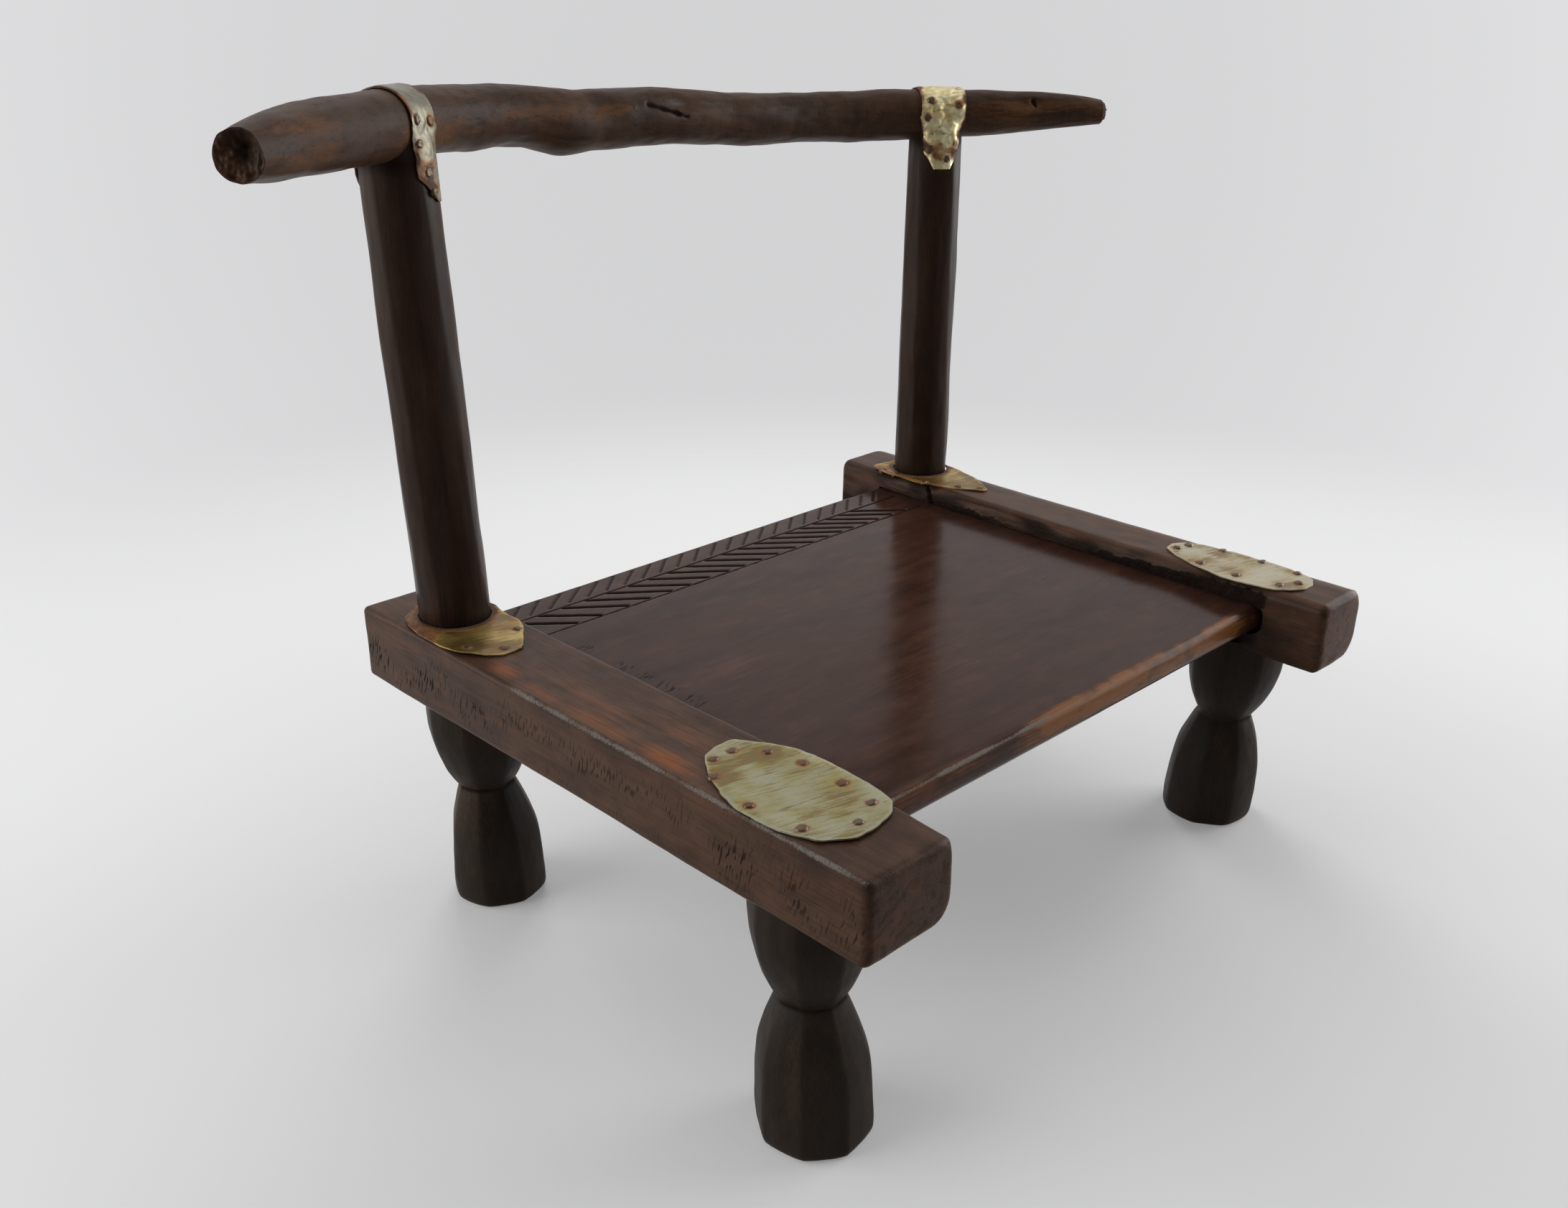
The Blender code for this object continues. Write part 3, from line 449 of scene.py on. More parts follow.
def make_worked_wood():
    """Old oiled wood: streaked figure, fine pores, rubbed places, grey crust and painted grey sheen,
    painted shade in hollows, and pits.
    """
    tree, given, result = open_tree(
        "worked_wood", "ShaderNodeTree",
        {
            "Grain": VECTOR, "Deep Colour": COLOUR, "Face Colour": COLOUR, "Worn Colour": COLOUR,
            "Wear": VALUE, "Crust_And_Sheen": VALUE, "Hollow": VALUE, "Pits": VALUE, "Pitch": VALUE,
            "Oiled Roughness": VALUE, "Oiled Shine": VALUE, "Mark Turn": VECTOR,
        },
        {"Colour": COLOUR, "Roughness": VALUE, "Height": VALUE, "Shine": VALUE},
    )
    grain = given["Grain"]
    figure = grain.cloud((9, 150, 150), 6, 0.62, 0.3)
    patches = grain.cloud((7, 26, 26), 3)
    mottle = grain.cloud((42, 75, 75), 5, 0.65)
    pores = grain.cloud((55, 950, 950), 1).rise(0.58, 0.72)
    lines = grain.cloud((24, 900, 900), 3, 0.6).rise(0.36, 0.66)
    grit = grain.cloud((620, 620, 620), 3)
    slanted = node(tree, "ShaderNodeMapping", {"Vector": grain, "Rotation": given["Mark Turn"]})
    dashes = slanted.cloud((600, 125, 125), 0).rise(0.57, 0.65)
    tone = figure * 0.26 + patches * 0.36 + mottle * 0.30 + lines * 0.05
    colour = tone.rise(0.34, 0.66).blend(given["Deep Colour"], given["Face Colour"])
    handled = mottle.rise(0.50, 0.70) * 0.05
    colour = handled.blend(colour, given["Worn Colour"])
    streaky = figure * 0.7 + lines * 0.5 + mottle * 0.6
    faded = (given["Wear"] * streaky).rise(0.12, 1.10)
    colour = faded.blend(colour, given["Worn Colour"])
    # Real crust and painted sheen share this mask: grey, rougher and lumpy
    crust_and_sheen_mask = (given["Crust_And_Sheen"] * (grit * 1.4 + 0.30)).rise(0.30, 0.78)
    colour = crust_and_sheen_mask.blend(colour, CRUST_AND_SHEEN_GREY)
    # A piece's hollow mask is painted shade; its pits and pores are the wood's own marks
    sunk = given["Hollow"].most(dashes * given["Pits"]).most(pores * 0.15)
    tarred = given["Pitch"].rise(0.15, 0.6)
    dark = sunk.most(tarred * 0.85)
    roughness = given["Oiled Roughness"] + faded * 0.14 + crust_and_sheen_mask * 0.35 + sunk * 0.30
    lumpy = grit * crust_and_sheen_mask.most(tarred)
    feed(result, {
        "Colour": dark.blend(colour, PITCH_AND_SHADE_BLACK),
        "Roughness": roughness + (tone - 0.55) * 0.30,
        "Height": figure * 0.45 - sunk + lumpy * 3.2,
        "Shine": given["Oiled Shine"] * (1 - dark * 0.85),
    })
    return tree


worked_wood = make_worked_wood()
GRAIN_ALONG_X = (0, 0, 0)
GRAIN_ALONG_Y = (0, 0, radians(-90))
GRAIN_ALONG_Z = (0, radians(90), 0)
MARK_TURN = (0, radians(14), 0)
WOOD_FINISHES = ("wear", "crust_and_sheen", "hollow", "pits", "pitch")


def stored(tree, name, output="Fac"):
    """A finish stored on the piece's points."""
    return node(tree, "ShaderNodeAttribute", None, output, attribute_name=name)


def dress(tree, coat, relief, more):
    """Send a coat's colour, roughness and relief, and more of its outputs, to a material's shader."""
    raised = node(tree, "ShaderNodeBump", {"Strength": 1.0, "Distance": relief, "Height": coat["Height"]})
    feed(tree.nodes["Principled BSDF"], {
        "Base Color": coat["Colour"], "Roughness": coat["Roughness"], "Normal": raised, **more,
    })


def wood_finish(name, grain, deep, face, worn, roughness, shine, relief, mark_turn=MARK_TURN):
    """One piece's wood: grain is a turn that lays the figure along the piece, or an attribute's name."""
    material = bpy.data.materials.new(name)
    material.use_nodes = True
    tree = material.node_tree
    if isinstance(grain, str):
        vector = stored(tree, grain, "Vector")
    else:
        place = node(tree, "ShaderNodeTexCoord", None, "Object")
        vector = node(tree, "ShaderNodeMapping", {"Vector": place, "Rotation": grain})
    sockets = {finish.title(): stored(tree, finish) for finish in WOOD_FINISHES}
    for label, colour in (("Deep", deep), ("Face", face), ("Worn", worn)):
        sockets[label + " Colour"] = (*colour, 1)
    sockets.update({
        "Grain": vector, "Oiled Roughness": roughness, "Oiled Shine": shine, "Mark Turn": mark_turn,
    })
    wood = node(tree, "ShaderNodeGroup", sockets, node_tree=worked_wood)
    dress(tree, wood, relief, {"Specular IOR Level": wood["Shine"]})
    return material


BOARD_EDGE = 0.0015
NOSE_TOP = 0.0060
NOSE_UNDER = 0.0105


def seat_section(gap):
    """The board's outline from front to back, seen from its end, grown by a gap."""
    low = (seat_low.y - NOSE_GAP, seat_low.z - gap)
    high = (seat_high.y + gap, seat_high.z + gap)
    return rounded_section(low, high, (BOARD_EDGE, BOARD_EDGE, NOSE_TOP + gap, NOSE_UNDER), RAIL_GRID)


def groove_cutter():
    """A bar as large as the seat board and its gap, to cut the grooves that hold its ends."""
    section = seat_section(GROOVE_GAP)
    ends = (seat_low.x - GROOVE_GAP, seat_high.x + GROOVE_GAP)
    return loft("groove", [[(x, y, z) for y, z in section] for x in ends])


rail_wood = wood_finish(
    "rail_wood", GRAIN_ALONG_Y, deep=(0.044, 0.0220, 0.0134), face=(0.124, 0.0640, 0.0380),
    worn=(0.260, 0.092, 0.033), roughness=0.38, shine=0.12, relief=0.0004,
)
left_rail = loft("left_rail_beam", rail_rings(left_low, left_high, LEFT_RAIL_INNER_EDGE, True))
sculpt(cut_away(left_rail, groove_cutter()), left_rail_shape, *WOOD_FINISHES)
finish_piece(left_rail, rail_wood, "rail_wood", "left_side_rail")
right_rail = loft("right_rail_beam", rail_rings(right_low, right_high, RIGHT_RAIL_INNER_EDGE, False))
sculpt(cut_away(right_rail, groove_cutter()), right_rail_shape, *WOOD_FINISHES)
finish_piece(right_rail, rail_wood, "rail_wood", "right_side_rail")


# Seat board
# One wide board of the same wood, polished by sitting, with its ends let into the rails.
# A herringbone of knife strokes is cut across its back, and its front edge is rubbed to bare wood.
SEAT_COLUMN = 0.0015
BAND_ROW = 0.0006
PLAIN_ROW = 0.0032
UNDERSIDE_ROW = 0.0090
SEAT_WAVE = 0.0003
MIDDLE_LINE_FROM_BACK = 0.025
FRONT_LINE_FROM_BACK = 0.057
BAND_SIDE_MARGIN = 0.009
# Each row's dark is painted shade in its strokes' grooves
FRONT_STROKES = {
    "count": 20, "pitch": 0.0215, "tighten": 0.000175, "run": 0.0335, "width": 0.0022, "depth": 0.0018,
    "dark": 1.0, "start gap": 0.0016, "end gap": 0.0030,
}
BACK_STROKES = {
    "count": 23, "pitch": 0.0172, "tighten": 0.0, "run": 0.0200, "width": 0.0016, "depth": 0.0007,
    "dark": 0.66, "start gap": 0.0040, "end gap": 0.0040,
}
RULED_LINE = {"width": 0.0010, "depth": 0.0008, "dark": 0.80}
STROKE_SEED = 7
STROKE_SHAKE = 0.0009
SHORTEST_STROKE = (0.90, 0.97, 1.0)
LONGEST_STROKE = (1.08, 1.03, 1.0)
CARVING_LIMIT = 0.002
GEOMETRY = "NodeSocketGeometry"
WHOLE = "NodeSocketInt"
FINISH = "NodeSocketMaterial"
NICKS_FROM_FRONT = (0.344, 0.338, 0.303, 0.297, 0.280, 0.262, 0.255, 0.236, 0.222)
NICK_X = -0.187
NICK_LENGTH = 0.0050
NICK_WIDTH = 0.0060
RIDGE_FROM_FRONT = 0.0022
RIDGE_FROM_TOP = 0.0012
RIDGE_REACH = 0.0017
RIDGE_END = (-0.045, 0.010)
NOSE_LENGTH = 0.011
NOSE_HEIGHT = (0.003, 0.013)
BARE_NOSE_START = (-0.09, -0.02)
BARE_NOSE_END = (-0.060, -0.020)
NOSE_WEAR = 1.7
# Places rubbed by sitting: x, y from the front end, how much a distance across counts, reach
SEAT_RUBBED = ((-0.02, 0.16, 0.5, 0.05), (-0.13, 0.25, 0.6, 0.03))
SEAT_RUBBED_WEAR = 0.28
TOP_FACING = (0.5, 0.9)
BAND_FRONT_MARGIN = 0.003
FLAT_LIMIT = 0.0001


def board_section():
    """The board's outline from its end, with close rows on top where the carving goes."""
    coarse = rounded_section(
        (seat_low.y, seat_low.z), (seat_high.y, seat_high.z),
        (BOARD_EDGE, BOARD_EDGE, NOSE_TOP, NOSE_UNDER), UNDERSIDE_ROW,
    )
    band_front = seat_high.y - FRONT_LINE_FROM_BACK - BAND_FRONT_MARGIN
    points = []
    for start, end in zip(coarse, coarse[1:] + coarse[:1]):
        points.append(start)
        if min(start[1], end[1]) > seat_high.z - FLAT_LIMIT:
            row = BAND_ROW if max(start[0], end[0]) > band_front else PLAIN_ROW
            run = Vector(end) - Vector(start)
            steps = max(round(run.length / row), 1)
            points += [tuple(Vector(start) + run * k / steps) for k in range(1, steps)]
    return points


def seat_shape(point, normal):
    """The board: a bare front edge with crust on its ridge, rubbed places, and nicks on the left."""
    offset = SEAT_WAVE * ripple(point, 8, 14, 8) + 0.4 * TOOL_CHATTER * ripple(point, 35, 80, 35)
    x = point.x - middle_x
    from_front = point.y - front_end
    on_top = smooth_step(normal.z, *TOP_FACING)
    ridge = hypot(point.y - seat_low.y - RIDGE_FROM_FRONT, point.z - seat_high.z + RIDGE_FROM_TOP)
    broken = 0.55 + 0.40 * smooth_step(ripple(point, 60, 60, 60), -0.3, 0.3)
    crust_and_sheen = bump(ridge, RIDGE_REACH) * (1 - smooth_step(x, *RIDGE_END)) * broken
    offset += 0.5 * CRUST_LUMP * crust_and_sheen
    nose = 1 - smooth_step(point.y - seat_low.y, 0.0, NOSE_LENGTH)
    upper = smooth_step(point.z - seat_low.z, *NOSE_HEIGHT)
    patchy = ripple(point, 30, 20, 110) + 0.6 * ripple(point, 110, 60, 260)
    patchy = 0.35 + 0.65 * smooth_step(patchy, -0.60, 0.50)
    bare_wood_and_edge_glint = 0.35 + 0.65 * smooth_step(x, *BARE_NOSE_START)
    bare_wood_and_edge_glint *= 1 - 0.55 * smooth_step(point.x - seat_high.x, *BARE_NOSE_END)
    rubbed = max(
        bump(hypot(narrowing * (x - rubbed_x), from_front - rubbed_y), reach)
        for rubbed_x, rubbed_y, narrowing, reach in SEAT_RUBBED
    )
    wear = max(NOSE_WEAR * nose * (0.30 + 0.70 * upper) * patchy * bare_wood_and_edge_glint, SEAT_RUBBED_WEAR * rubbed * on_top)
    nick = max(bump(from_front - nick_y, NICK_LENGTH) for nick_y in NICKS_FROM_FRONT)
    return offset, wear, crust_and_sheen, nick * bump(x - NICK_X, NICK_WIDTH) * on_top


def carving_tree():
    """Geometry nodes that cut ruled lines and two rows of slanted strokes into the board's top, and put
    painted shade in them.
    """
    tree, given, result = open_tree(
        "herringbone_carving", "GeometryNodeTree",
        {
            "Board": GEOMETRY, "Left End": VALUE, "Right End": VALUE, "Middle Line": VALUE,
            "Front Line": VALUE, "Back Edge": VALUE, "Top": VALUE, "Seed": WHOLE, "Finish": FINISH,
        },
        {"Board": GEOMETRY},
    )
    top = given["Top"]
    place = node(tree, "GeometryNodeInputPosition")
    shaky = node(tree, "ShaderNodeTexNoise", {"Vector": place, "Scale": 260.0, "Detail": 1.0})
    shaky = (shaky - 0.5) * STROKE_SHAKE

    def vector(*parts):
        return node(tree, "ShaderNodeCombineXYZ", dict(enumerate(parts)))

    def line(count, start, offset, mode):
        sockets = {"Count": count, "Start Location": start, "Offset": offset}
        return node(tree, "GeometryNodeMeshLine", sockets, mode=mode)

    def ruled(y):
        return line(2, vector(given["Left End"], y, top), vector(given["Right End"], y, top), "END_POINTS")

    def strokes(start_y, end_y, size):
        start = vector(given["Left End"], start_y, top)
        starts = line(size["count"], start, vector(size["pitch"]), "OFFSET")
        number = node(tree, "GeometryNodeInputIndex")
        closing = vector(number * number * -size["tighten"])
        starts = node(tree, "GeometryNodeSetPosition", {"Geometry": starts, "Offset": closing})
        stroke = line(2, (0, 0, 0), vector(size["run"], end_y - start_y), "END_POINTS")
        uneven = {0: SHORTEST_STROKE, 1: LONGEST_STROKE, 8: given["Seed"]}
        uneven = node(tree, "FunctionNodeRandomValue", uneven, data_type="FLOAT_VECTOR")
        sockets = {"Points": starts, "Instance": stroke, "Scale": uneven}
        placed = node(tree, "GeometryNodeInstanceOnPoints", sockets)
        return node(tree, "GeometryNodeRealizeInstances", {0: placed})

    middle = given["Middle Line"]
    front_rows = strokes(
        middle - FRONT_STROKES["start gap"], given["Front Line"] + FRONT_STROKES["end gap"], FRONT_STROKES,
    )
    back_rows = strokes(
        middle + BACK_STROKES["start gap"], given["Back Edge"] - BACK_STROKES["end gap"], BACK_STROKES,
    )
    both_lines = node(tree, "GeometryNodeJoinGeometry")
    for y in (middle, given["Front Line"]):
        feed(both_lines.socket.node, {0: ruled(y)})
    depth = 0.0
    dark = 0.0
    for lines, size in ((front_rows, FRONT_STROKES), (back_rows, BACK_STROKES), (both_lines, RULED_LINE)):
        near = node(tree, "GeometryNodeProximity", {0: lines}, "Distance", target_element="EDGES")
        share = (1 - (near + shaky) / size["width"]).most(0.0)
        depth = (share * size["depth"]).most(depth)
        # Painted shade in the strokes and ruled lines, kept in the board's hollow mask
        dark = (share.rise(0.0, 0.40) * size["dark"]).most(dark)
    height = node(tree, "ShaderNodeSeparateXYZ", {0: place}, "Z")
    on_top = height.calc("GREATER_THAN", height, top - CARVING_LIMIT)
    sockets = {"Geometry": given["Board"], "Name": "hollow", "Value": dark * on_top}
    board = node(tree, "GeometryNodeStoreNamedAttribute", sockets, data_type="FLOAT", domain="POINT")
    sunk = vector(0, 0, depth * on_top * -1.0)
    board = node(tree, "GeometryNodeSetPosition", {"Geometry": board, "Offset": sunk})
    board = node(tree, "GeometryNodeRealizeInstances", {0: board})
    board = node(tree, "GeometryNodeSetMaterial", {"Geometry": board, "Material": given["Finish"]})
    feed(result, {"Board": board})
    return tree


def run_tree(piece, tree, **values):
    """Put a geometry tree on a piece with its named inputs, and keep what it makes."""
    modifier = piece.modifiers.new(tree.name, "NODES")
    modifier.node_group = tree
    sockets = {item.name: item.identifier for item in tree.interface.items_tree if item.in_out == "INPUT"}
    for label, value in values.items():
        modifier[sockets[label.replace("_", " ")]] = value
    return keep_evaluated(piece)


seat_wood = wood_finish(
    "seat_wood", GRAIN_ALONG_X, deep=(0.042, 0.0180, 0.0120), face=(0.070, 0.0305, 0.0195),
    worn=(0.290, 0.115, 0.038), roughness=0.20, shine=0.13, relief=0.00004, mark_turn=(0, 0, radians(78)),
)
seat_columns = round((seat_high.x - seat_low.x) / SEAT_COLUMN)
seat_outline = board_section()
seat_rings = []
for k in range(seat_columns + 1):
    x = seat_low.x + (seat_high.x - seat_low.x) * k / seat_columns
    seat_rings.append([(x, y, z) for y, z in seat_outline])
seat = loft("seat_plank", seat_rings)
sculpt(seat, seat_shape, "wear", "crust_and_sheen", "pits")
run_tree(
    seat, carving_tree(), Left_End=left_high.x + BAND_SIDE_MARGIN, Right_End=right_low.x - BAND_SIDE_MARGIN,
    Middle_Line=seat_high.y - MIDDLE_LINE_FROM_BACK, Front_Line=seat_high.y - FRONT_LINE_FROM_BACK,
    Back_Edge=seat_high.y, Top=seat_high.z, Seed=STROKE_SEED, Finish=seat_wood,
)
finish_piece(seat, seat_wood, "seat_wood", "seat_board")


# Legs
# Four spool-shaped legs, each cut from one billet with eight soft facets and a sharp waist.
# A round tenon, out of sight, holds each one in its rail.
# Profile of a leg below and above its waist: share of the height up to the rail, radius
LEG_LOWER = (
    (0.00, 0.0312), (0.012, 0.0334), (0.05, 0.0346), (0.15, 0.0347), (0.28, 0.0337), (0.37, 0.0315),
    (0.45, 0.0277), (0.52, 0.0236), (0.568, 0.0202),
)
LEG_UPPER = (
    (0.576, 0.0204), (0.625, 0.0250), (0.69, 0.0297), (0.78, 0.0335), (0.88, 0.0352), (1.00, 0.0347),
    (1.04, 0.0340),
)
LEG_SIDES = 96
LEG_RINGS = 64
LEG_FACETS = 8
LEG_FACET_SHARE = 0.52
LEG_UNEVEN = 0.0007
CREASE_SHARE = 0.572
SHAVED_SHARE = 0.27
SHAVED_SIDE = radians(138)
SHAVED_WIDTH = 0.7
SHAVED_LENGTH = 0.30
# Reach of the painted shade in the waist's crease, as a share of the height
CREASE_HEIGHT = 0.010
HEM_HEIGHT = 0.03
LEG_WEAR = 0.45
LEG_SEED_STEP = 3.7
LEVEL_SLICE = 0.001
TENON_SLICE = (0.006, 0.030)


def follow(points, place):
    """A smooth value through pairs of place and value."""
    last = len(points) - 2
    index = max(k for k in range(last + 1) if points[k][0] <= place or k == 0)
    a, b, c, d = (points[min(max(index + k, 0), last + 1)] for k in (-1, 0, 1, 2))
    t = min(max((place - b[0]) / (c[0] - b[0]), 0.0), 1.0)
    slope_b = (c[1] - a[1]) / (c[0] - a[0]) * (c[0] - b[0])
    slope_c = (d[1] - b[1]) / (d[0] - b[0]) * (c[0] - b[0])
    return (
        b[1] * (1 + 2 * t) * (1 - t) ** 2 + slope_b * t * (1 - t) ** 2
        + c[1] * t * t * (3 - 2 * t) - slope_c * t * t * (1 - t)
    )


def facet(angle, sides, share):
    """Reach of a softened polygon of unit radius."""
    slice_angle = 2 * pi / sides
    within = angle % slice_angle - slice_angle / 2
    return 1 + share * (cos(slice_angle / 2) / cos(within) - 1)


def level_circle(name, low, high):
    """Centre and widest radius of a node's points between two heights."""
    points = np.array([v.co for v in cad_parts[name].data.vertices if low < v.co.z < high])
    centre = (points.min(0) + points.max(0)) / 2
    radius = np.hypot(points[:, 0] - centre[0], points[:, 1] - centre[1]).max()
    return Vector(centre), radius


def half_turn(angle):
    """An angle brought between minus and plus half a turn."""
    return (angle + pi) % (2 * pi) - pi


def round_ring(centre, sides, reach_at):
    """A level ring of points round a centre, with a reach for each angle."""
    ring = []
    for k in range(sides):
        angle = 2 * pi * k / sides
        reach = reach_at(angle)
        ring.append((centre.x + reach * cos(angle), centre.y + reach * sin(angle), centre.z))
    return ring


def make_leg(name, node_name, turn, seed, shaved, splay):
    """A leg from its foot on the floor to just inside its rail."""
    foot, _ = level_circle(node_name, -LEVEL_SLICE, LEVEL_SLICE)
    foot += Vector((-splay, splay, 0))
    head, _ = level_circle(node_name, *(left_low.z + height for height in TENON_SLICE))
    head.z = left_low.z

    def ring(share, radius):
        def reach(angle):
            place = Vector((cos(angle), sin(angle), share * 3 + seed))
            uneven = LEG_UNEVEN * noise.noise(place * 1.6) + 0.4 * LEG_UNEVEN * noise.noise(place * 5)
            outer = bump(half_turn(angle - SHAVED_SIDE), SHAVED_WIDTH)
            taken = shaved * outer * bump(share - SHAVED_SHARE, SHAVED_LENGTH)
            return radius * facet(angle + turn, LEG_FACETS, LEG_FACET_SHARE) + uneven - taken

        return round_ring(foot.lerp(head, share), LEG_SIDES, reach)

    rings = [ring(0.0, share * LEG_LOWER[0][1]) for share in reversed(CAP_SHARES)]
    for profile in (LEG_LOWER, LEG_UPPER):
        start = profile[0][0]
        span = profile[-1][0] - start
        for k in range(LEG_RINGS + 1):
            share = start + span * k / LEG_RINGS
            rings.append(ring(share, follow(profile, share)))
    rings += [ring(LEG_UPPER[-1][0], share * LEG_UPPER[-1][1]) for share in CAP_SHARES]

    def leg_shape(point, normal):
        share = (point.z - foot.z) / (head.z - foot.z)
        # Painted shade in the sharp crease at the waist, broken up by noise
        crease_shade = bump(share - CREASE_SHARE, CREASE_HEIGHT)
        crease_shade *= smooth_step(ripple(point, 45, 45, 45), -0.45, 0.1)
        hem = 1 - smooth_step(share, 0.0, HEM_HEIGHT)
        wear = LEG_WEAR * smooth_step(ripple(point + UP * seed, 24, 24, 12), 0.05, 0.50)
        return 0.0, wear, 0.0, 0.8 * crease_shade, 0.25 * hem

    leg = sculpt(loft(name, rings), leg_shape, "wear", "crust_and_sheen", "hollow", "pits")
    finish_piece(leg, leg_wood, "leg_wood", node_name)


leg_wood = wood_finish(
    "leg_wood", GRAIN_ALONG_Z, deep=(0.022, 0.0150, 0.0105), face=(0.043, 0.0290, 0.0195),
    worn=(0.090, 0.048, 0.027), roughness=0.50, shine=0.13, relief=0.0002,
)
# Legs: name, node, turn of the facets, how far the outer side is shaved, how far the foot stands out
LEGS = (
    ("spool_leg_front_left", "front_left_leg", 0.20, 0.0, 0.0),
    ("spool_leg_front_right", "front_right_leg", 0.55, 0.0, 0.0018),
    ("spool_leg_rear_left", "rear_left_leg", 0.05, 0.0050, 0.0),
    ("spool_leg_rear_right", "rear_right_leg", 0.35, 0.0, 0.0),
)
for seed, (name, node_name, turn, shaved, splay) in enumerate(LEGS):
    make_leg(name, node_name, turn, LEG_SEED_STEP * seed, shaved, splay)


# Crest rail
# A bent branch, peeled and rubbed, laid across both posts as the backrest. It keeps its knots
# and lumps, a hollow broken end on the left and a split, tapered end on the right.
BACK_HEIGHT = 0.310
POST_LINE_FROM_BACK = 0.061
# The branch from left to right: x, y behind the post line, height above the back's height, radius
CREST_STATIONS = (
    (-0.397, -0.091, 0.0150, 0.0140), (-0.375, -0.074, 0.0155, 0.0168), (-0.345, -0.052, 0.0155, 0.0188),
    (-0.310, -0.028, 0.0150, 0.0201), (-0.270, -0.003, 0.0138, 0.0208), (-0.240, 0.014, 0.0132, 0.0210),
    (-0.204, 0.030, 0.0122, 0.0205), (-0.165, 0.042, 0.0103, 0.0203), (-0.130, 0.048, 0.0080, 0.0203),
    (-0.093, 0.051, 0.0022, 0.0213), (-0.060, 0.053, 0.0013, 0.0205), (0.000, 0.053, 0.0000, 0.0198),
    (0.060, 0.053, -0.0055, 0.0193), (0.120, 0.049, -0.0085, 0.0189), (0.167, 0.041, -0.0095, 0.0190),
    (0.210, 0.028, -0.0105, 0.0197), (0.251, 0.008, -0.0100, 0.0191), (0.294, -0.018, -0.0100, 0.0174),
    (0.336, -0.045, -0.0090, 0.0145), (0.358, -0.061, -0.0090, 0.0122), (0.372, -0.072, -0.0100, 0.0098),
)
CREST_SIDES = 120
CREST_RINGS = 720
GRAIN_STRETCH = (3.8, 0.5)
CREST_UNEVEN = 0.0011
CREST_STEP = 0.002
CREST_TABLE = 2000
STRAP_BED = (0.016, 0.034)
# Lumps and hollows: x, angle up from the front, length, width round the branch, height
CREST_LUMPS = (
    (-0.095, -85, 0.014, 30, 0.0012), (-0.372, 60, 0.009, 30, 0.0007), (-0.178, -75, 0.013, 26, 0.0016),
    (-0.148, -75, 0.010, 26, -0.0010), (-0.052, 20, 0.010, 50, 0.0010), (-0.004, 34, 0.022, 17, -0.0022),
    (0.075, -70, 0.016, 30, 0.0008), (0.188, -78, 0.013, 26, 0.0008), (0.318, 25, 0.012, 24, -0.0016),
)
# Cracks: x and angle where they start and end
CREST_CRACKS = ((-0.027, 30, 0.006, 2), (0.322, 40, 0.324, 18))
CRACK_WIDTH = 0.0017
CRACK_DEPTH = 0.0022
CRACK_WANDER = 0.0012
# Painted shade in the cracks
CRACK_SHADE = 0.90
# Scars with a painted grey sheen: x, angle up from the front, length, width round the branch, strength
CREST_SCAR_SHEEN = (
    (-0.003, 33, 0.014, 15, 0.80), (0.034, 34, 0.020, 8, 0.66), (0.105, 28, 0.014, 12, 0.55),
    (-0.040, 24, 0.003, 10, 0.80),
)
RUBBED_LEFT_PART = (-0.05, 0.02)
# Worn colour grows stronger over the right end, which is lighter
LIGHTER_RIGHT_END = (0.27, 0.31)
RUBBED_ANGLE = radians(5)
RUBBED_WIDTH = radians(60)
BROKEN_ROWS = 30
BROKEN_SCALES = [1 - (k + 1) / (BROKEN_ROWS + 1) for k in range(BROKEN_ROWS)]
BROKEN_HOLLOW = 0.0050
BROKEN_HOLLOW_MIDDLE = Vector((0.22, 0.22, 0.0))
BROKEN_HOLLOW_REACH = 0.60
BROKEN_CHIPS = 0.0019
BROKEN_LIP = (0.02, 0.16)
# Most painted shade on the broken end's face
BROKEN_SHADE_LIMIT = 0.60
BROKEN_WEAR = 0.20
BROKEN_RIM = 0.75
SPLIT_SCALES = (0.93, 0.80, 0.62, 0.40, 0.18, 0.05)
SPLIT_LENGTH = 0.0045
SPLIT_FIBRES = 0.0018
# Painted shade on the split right end's face
SPLIT_END_SHADE = 0.6


def crest_station(share):
    """Centre and radius of the branch at a share of its stations, on a smooth curve through them."""
    spans = len(CREST_STATIONS) - 1
    place = min(max(share, 0.0), 1.0) * spans
    index = min(int(place), spans - 1)
    t = place - index
    knots = [CREST_STATIONS[min(max(index + k, 0), spans)] for k in (-1, 0, 1, 2)]
    x, y, height, radius = (
        b + 0.5 * t * (c - a + t * (2 * a - 5 * b + 4 * c - d + t * (3 * (b - c) + d - a)))
        for a, b, c, d in zip(*knots)
    )
    centre = Vector((middle_x + x, rear_end - POST_LINE_FROM_BACK + y, rail_top + BACK_HEIGHT + height))
    return centre, radius


def crest_frame(share):
    """Centre, tangent, forward and upward directions and radius of the branch."""
    tangent = (crest_station(share + CREST_STEP)[0] - crest_station(share - CREST_STEP)[0]).normalized()
    forward = tangent.cross(UP).normalized()
    centre, radius = crest_station(share)
    return centre, tangent, forward, forward.cross(tangent), radius


crest_table_share = [k / CREST_TABLE for k in range(CREST_TABLE + 1)]
crest_table_x = [crest_station(share)[0].x for share in crest_table_share]


def crest_share_at(x):
    """Share of the branch where its centre line passes a given x."""
    return float(np.interp(x, crest_table_x, crest_table_share))


